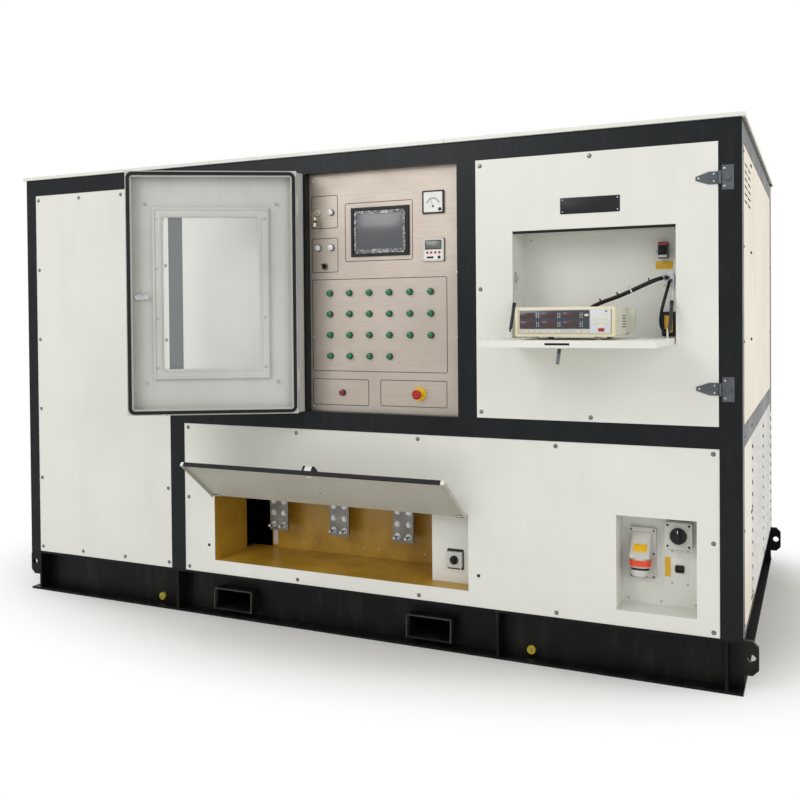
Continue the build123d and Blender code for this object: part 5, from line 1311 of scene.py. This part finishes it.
@dataclass
class CableHatch:
    """Cable hatch with its yellow boards, terminals and lift-up flap."""

    back: float = -705.0
    flap_turn: float = 128.0
    flap_axis: tuple[float, float] = (-1038.0, 570.7)
    middle: float = 43.0
    reach: float = 300.0

    def build(self) -> None:
        """Dress the hatch and fit the small parts inside it and on the flap."""
        dress(BOARD, "hatch_boards")
        dress(TINNED_COPPER, "terminal_plates")
        dress(ZINC, "terminal_bolts")
        dress(WHITE_POWDER, "recess_pans")
        dress(FLAP_POWDER, "flap_panel")
        dress(WHITE_ABS, "flap_latch")
        dress(SOFT_BLACK, "hatch_switch_knob")
        self.board_screws()
        self.washers()
        self.flap_inner()
        self.flap_latch_box()

    def flap_place(self, depth: float, outer: bool = False) -> Matrix:
        """Face on the open flap, with y running from the hinge to the free edge.

        Args:
            depth: Distance from the hinge axis towards the flap's inner side.
            outer: Whether the face looks out of the flap's outer side.

        Returns:
            The face's place.
        """
        turn = math.radians(self.flap_turn)
        out = Vector((0, -math.cos(turn), math.sin(turn)))
        edge = Vector((0, -math.sin(turn), -math.cos(turn)))
        origin = Vector((self.middle, *self.flap_axis)) - out * depth
        return facing(tuple(origin), (-1 if outer else 1, 0, 0), tuple(edge))

    def board_screws(self) -> None:
        """Fit screws on the boards and the white strip at the back."""
        piece = Piece(front(self.back))
        for x in (-300.0, -225.0, 30.0, 105.0, 340.0, 420.0):
            for z in (300.0, 590.0):
                piece.screw(ZINC, x, z, 0.0, 5.0)
        piece.block(WHITE_ABS, -458.0, 440.0, 0.0, 26.0, 330.0, 2.0, 0.4)
        piece.finish("board_screws", "enclosure", "zinc_steel")
        plate = Piece(front(-939.0))
        plate.block(BLACK_ABS, 579.0, 362.0, 0.0, 74.0, 86.0, 1.6, 0.4, 4.0)
        for x in (549.0, 609.0):
            for z in (396.0, 328.0):
                plate.screw(ZINC, x, z, 18.0, 3.2)
        plate.turned(GREY_ABS, 579.0, 362.0, 18.0, ((26, 0), (26, 0.2), (18.5, 0.2), (18.5, 0)),
                     30)
        plate.finish("hatch_switch_plate", "enclosure", "grey_plastic")

    def washers(self) -> None:
        """Fit a round washer under each terminal bolt."""
        piece = Piece(front(-785.0))
        for centre in (-389.0, -61.0, 267.0):
            for x in (centre - 28.0, centre + 28.0):
                for row in range(4):
                    piece.turned(ZINC, x, 394.0 + 56.0 * row, 0.0, (
                        (14.0, 0), (14.0, 1.6), (12.0, 2.0), (0, 2.0),
                    ), 22)
        piece.finish("terminal_washers", "enclosure", "zinc_steel")

    def flap_inner(self) -> None:
        """Fit the flap's edge seal, its end tabs and the latch's bolt ends."""
        piece = Piece(self.flap_place(5.0))
        piece.block(SEAL, 0.0, self.reach + 1.5, -2.0, 1216.0, 9.0, 18.0, 2.5)
        for side in (-1, 1):
            piece.block(WHITE_ABS, side * 616.5, self.reach + 1.0, -2.0, 16.0, 8.0, 17.0, 2.0, 2.0)
            piece.block(ZINC, side * 600.0, 8.0, 3.0, 40.0, 12.0, 3.0, 0.8, 2.0)
        for x, y in ((-24.0, 150.0), (0.0, 150.0), (-6.0, 120.0), (18.0, 120.0)):
            piece.turned(ZINC, x, y, 0.0, ((3.2, 0), (3.2, 5), (2.4, 6), (0, 6)), 14)
        piece.finish("flap_inner_trim", "hatch_flap", "seal_rubber")

    def flap_latch_box(self) -> None:
        """Fit the latch's white body and its black cheeks on the outer side."""
        piece = Piece(self.flap_place(3.0, outer=True))
        piece.block(WHITE_ABS, 0.0, 264.0, 0.4, 34.0, 38.0, 33.0, 3.0, 3.0)
        for side in (-1, 1):
            piece.block(SOFT_BLACK, side * 22.0, 264.0, 0.4, 10.0, 40.0, 35.0, 2.0, 2.0)
        piece.finish("flap_latch_box", "hatch_latch", "white_plastic")


@dataclass
class SocketRecess:
    """White recess with its supply socket, isolator and small inlet."""

    back: float = -905.0
    socket: tuple[float, float] = (1354.0, 462.0)
    isolator: tuple[float, float] = (1492.0, 545.0)
    inlet: tuple[float, float] = (1491.0, 408.0)
    tilt: float = 8.0

    def build(self) -> None:
        """Dress the switches and fit the recess's small parts."""
        dress(GREY_ABS, "socket_body", "switch_bodies")
        dress(ORANGE_ABS, "socket_ring")
        dress(BLACK_ABS, "isolator_knob")
        self.flange_screws()
        self.socket_trim()
        self.isolator_trim()
        self.inlet_trim()

    def flange_screws(self) -> None:
        """Fit the screws along the foot of the recess and those under the isolator."""
        piece = Piece(front(self.back))
        for x in (1295.0, 1421.0, 1550.0):
            piece.screw(ZINC, x, 274.0, 0.0, 4.5)
        for x in (1462.0, 1520.0):
            for z in (350.0, 474.0):
                piece.screw(ZINC, x, z, 0.0, 4.5)
        piece.finish("recess_flange_screws", "enclosure", "zinc_steel")

    def socket_trim(self) -> None:
        """Fit the socket's screws, label, hood ribs, metal cap and the ring's ribs."""
        x, z = self.socket
        piece = Piece(front(self.back - 25.0))
        for across in (-43.0, 43.0):
            for up in (-90.0, 0.0, 90.0):
                piece.screw(BLACK_OXIDE, x + across, z + up, 0.0, 4.2)
        piece.border(GREY_ABS, (x - 47.0, z - 95.5), (x + 47.0, z + 95.5), -0.1, 2.5, 1.6, 4.0)
        piece.finish("socket_screws", "enclosure", "grey_plastic")
        hood = Piece(facing((x, -982.0, 493.0), (1, 0, 0), (0, 0.665, 0.747)))
        hood.block(TAG_YELLOW, 0.0, 0.0, 0.0, 52.0, 34.0, 1.2, 0.2, 2.0)
        for across in (-31.0, 31.0):
            hood.block(GREY_ABS, across, 18.0, 0.0, 4.0, 86.0, 3.0, 1.0)
        hood.finish("socket_label", "enclosure", "grey_plastic")
        lean = math.radians(self.tilt)
        down = facing((x, -975.0, z), (1, 0, 0), (0, -math.cos(lean), math.sin(lean)))
        cap = Piece(down)
        cap.turned(ZINC, 0, 0, 71.5, ((30.5, 0), (30.5, 5), (28.5, 7), (25, 7), (24, 3), (0, 3)),
                   36)
        cap.turned(BLACK_ABS, 0, 0, 44.0, ((33.6, 0), (34.2, 2), (34.2, 6), (33.6, 8)), 36)
        cap.finish("socket_cap", "enclosure", "zinc_steel")
        ribs = Piece(down)
        for step in range(24):
            turn = math.tau * step / 24
            ribs.block(ORANGE_ABS, 39.2 * math.cos(turn), 39.2 * math.sin(turn), 17.0, 2.6, 4.2,
                       20.0,
                       0.6, spin=math.degrees(turn))
        ribs.finish("socket_ring_ribs", "socket_ring", "orange_plastic")

    def isolator_trim(self) -> None:
        """Fit the isolator's screws, collar and raised face, and the knob's mark."""
        x, z = self.isolator
        piece = Piece(front(self.back - 48.0))
        for across in (-40.0, 40.0):
            for up in (-40.0, 40.0):
                piece.screw(BLACK_OXIDE, x + across, z + up, 0.0, 4.6)
        piece.turned(GREY_ABS, x, z, 0.0, ((37, 0), (37, 0.15), (31.5, 0.15), (31.5, 0)), 36)
        piece.finish("isolator_screws", "enclosure", "grey_plastic")
        knob = Piece(front(self.back - 48.0 - 24.3))
        knob.block(WHITE_ABS, x, z + 20.0, 0.0, 2.4, 12.0, 0.3)
        knob.finish("isolator_mark", "isolator_knob", "black_plastic")

    def inlet_trim(self) -> None:
        """Fit the inlet's steel plate, black body, pins and the plain tag beside it."""
        x, z = self.inlet
        piece = Piece(front(self.back))
        piece.block(WHITE_POWDER, x, z, 0.0, 68.0, 84.0, 0.9, 0.2, 4.0)
        piece.border(BLACK_ABS, (x - 17.0, z - 14.0), (x + 17.0, z + 14.0), 0.0, 5.0, 8.8, 3.0)
        piece.block(BLACK_ABS, x, z, 0.0, 26.0, 20.0, 1.0)
        for across, up in ((-6.5, -2.0), (6.5, -2.0), (0.0, 3.5)):
            piece.block(STAINLESS, x + across, z + up, 1.0, 1.6, 3.5, 5.0)
        piece.block(TAG_YELLOW, x - 45.0, z + 4.0, 0.0, 21.0, 76.0, 0.8, 0.2, 1.0)
        piece.finish("inlet_trim", "enclosure", "black_plastic")


@dataclass
class Internals:
    """Fan, resistor stacks and contactors behind the cladding."""

    def build(self) -> None:
        """Dress what the louvres and the hatch let the eye reach."""
        dress(ZINC, "fan_shroud", "resistor_bank")
        dress(BLACK_ABS, "fan_rotor")
        dress(GREY_ABS, "contactor_rack")


@dataclass(frozen=True)
class Lamp:
    """A soft lamp: where it stands, what it looks at, its size and its power."""

    name: str
    place: Point
    aim: Point
    size: float
    power: float
    colour: str = "FFFFFF"


@dataclass
class Studio:
    """Camera, floor, pale surround and soft lamps."""

    camera_place: Point = (1.9896, -4.584, 1.3928)
    yaw: float = 24.49
    pitch: float = 89.12
    roll: float = -0.485
    lens: float = 41.66
    shift_y: float = -0.0875
    ambient: float = 0.52
    lamps: tuple[Lamp, ...] = (
        Lamp("key_lamp", (-2.2, -6.0, 4.4), (0.0, -1.0, 1.1), 3.6, 140.0),
        Lamp("fill_lamp", (4.6, -4.2, 2.6), (0.8, -0.6, 1.0), 3.0, 58.0),
        Lamp("side_lamp", (6.0, 1.0, 2.8), (1.7, 0.0, 1.0), 2.6, 60.0, "FFF4E2"),
        Lamp("top_lamp", (0.0, 0.0, 6.0), (0.0, 0.0, 2.0), 4.0, 90.0),
    )

    def build(self) -> None:
        """Make the camera, the floor, the surround and the lamps."""
        scene = bpy.context.scene
        scene.view_settings.view_transform = "Standard"
        self.camera(scene)
        self.floor()
        self.surround(scene)
        for lamp in self.lamps:
            self.light(lamp)

    def camera(self, scene: bpy.types.Scene) -> None:
        """Make the camera, level with the middle of the cabinet.

        Args:
            scene: The scene that it serves.
        """
        data = bpy.data.cameras.new("camera")
        data.lens, data.sensor_width = self.lens, 36.0
        data.shift_y = self.shift_y
        made = bpy.data.objects.new("camera", data)
        made.location = self.camera_place
        made.rotation_euler = (
            Matrix.Rotation(math.radians(self.yaw), 3, "Z")
            @ Matrix.Rotation(math.radians(self.pitch), 3, "X")
            @ Matrix.Rotation(math.radians(self.roll), 3, "Z")
        ).to_euler()
        scene.collection.objects.link(made)
        scene.camera = made

    def floor(self) -> None:
        """Lay a pale floor that keeps the shadow near the cabinet and fades to white beyond."""
        part = bmesh.new()
        bmesh.ops.create_grid(part, x_segments=1, y_segments=1, size=14.0)
        data = bpy.data.meshes.new("floor")
        part.to_mesh(data)
        part.free()
        made = bpy.data.objects.new("floor", data)
        bpy.context.scene.collection.objects.link(made)
        paint = bpy.data.materials.new("matt_pale_floor")
        paint.use_nodes = True
        tree = paint.node_tree
        tree.nodes.clear()
        place = add_node(tree, "ShaderNodeTexCoord", {}).outputs["Object"]
        squeezed = add_node(
            tree, "ShaderNodeMapping", {"Vector": place, "Scale": (0.42, 0.62, 1.0)}
        ).outputs[0]
        reach = add_node(tree, "ShaderNodeVectorMath", {0: squeezed},
                         operation="LENGTH").outputs[1]
        fade = add_node(tree, "ShaderNodeMapRange", {0: reach, 1: 0.78, 2: 1.15},
                        interpolation_type="SMOOTHSTEP").outputs[0]
        seen = self.seen(tree)
        share = add_node(
            tree, "ShaderNodeMath", {0: fade, 1: seen}, operation="MULTIPLY"
        ).outputs[0]
        matt = add_node(tree, "ShaderNodeBsdfDiffuse", {"Color": linear("F4F4F2")}).outputs[0]
        white = add_node(tree, "ShaderNodeEmission", {"Strength": 1.0}).outputs[0]
        mix = add_node(tree, "ShaderNodeMixShader", {0: share, 1: matt, 2: white}).outputs[0]
        add_node(tree, "ShaderNodeOutputMaterial", {"Surface": mix})
        data.materials.append(paint)

    def seen(self, tree: bpy.types.NodeTree) -> bpy.types.NodeSocket:
        """Tell the rays that the eye follows: straight, mirrored or through a pane.

        Args:
            tree: The node tree.

        Returns:
            A socket that is 1 for those rays.
        """
        rays = add_node(tree, "ShaderNodeLightPath", {})
        mirrored = add_node(tree, "ShaderNodeMath", {
            0: rays.outputs["Is Camera Ray"], 1: rays.outputs["Is Glossy Ray"],
        }, operation="MAXIMUM").outputs[0]
        return add_node(tree, "ShaderNodeMath", {
            0: mirrored, 1: rays.outputs["Is Transmission Ray"],
        }, operation="MAXIMUM").outputs[0]

    def surround(self, scene: bpy.types.Scene) -> None:
        """Make the world white to the eye and softer as a light.

        Args:
            scene: The scene that it surrounds.
        """
        world = bpy.data.worlds.new("surround")
        world.use_nodes = True
        tree = world.node_tree
        tree.nodes.clear()
        light = add_node(tree, "ShaderNodeBackground", {"Strength": self.ambient}).outputs[0]
        white = add_node(tree, "ShaderNodeBackground", {"Strength": 1.0}).outputs[0]
        for node in tree.nodes:
            node.inputs["Color"].default_value = (1, 1, 1, 1)
        mix = add_node(
            tree, "ShaderNodeMixShader", {0: self.seen(tree), 1: light, 2: white}
        ).outputs[0]
        add_node(tree, "ShaderNodeOutputWorld", {"Surface": mix})
        scene.world = world

    def light(self, lamp: Lamp) -> None:
        """Hang one soft lamp.

        Args:
            lamp: The lamp.
        """
        data = bpy.data.lights.new(lamp.name, "AREA")
        data.shape, data.size, data.energy = "SQUARE", lamp.size, lamp.power
        data.color = linear(lamp.colour)[:3]
        made = bpy.data.objects.new(lamp.name, data)
        made.location = lamp.place
        aim = Vector(lamp.aim) - Vector(lamp.place)
        made.rotation_euler = aim.to_track_quat("-Z", "Y").to_euler()
        bpy.context.scene.collection.objects.link(made)


def main() -> None:
    """Build every sub-assembly in order, then the studio round it."""
    logging.basicConfig(level=logging.INFO, format="%(name)s: %(message)s")
    assemblies = (
        Skid(), Cabinet(), ControlPanel(), ControlDoor(), ServiceDoor(), MeterShelf(), Cables(),
        CableHatch(), SocketRecess(), Internals(), Studio(),
    )
    for assembly in assemblies:
        LOG.info("building %s", type(assembly).__name__)
        assembly.build()


if __name__ == "__main__":
    main()
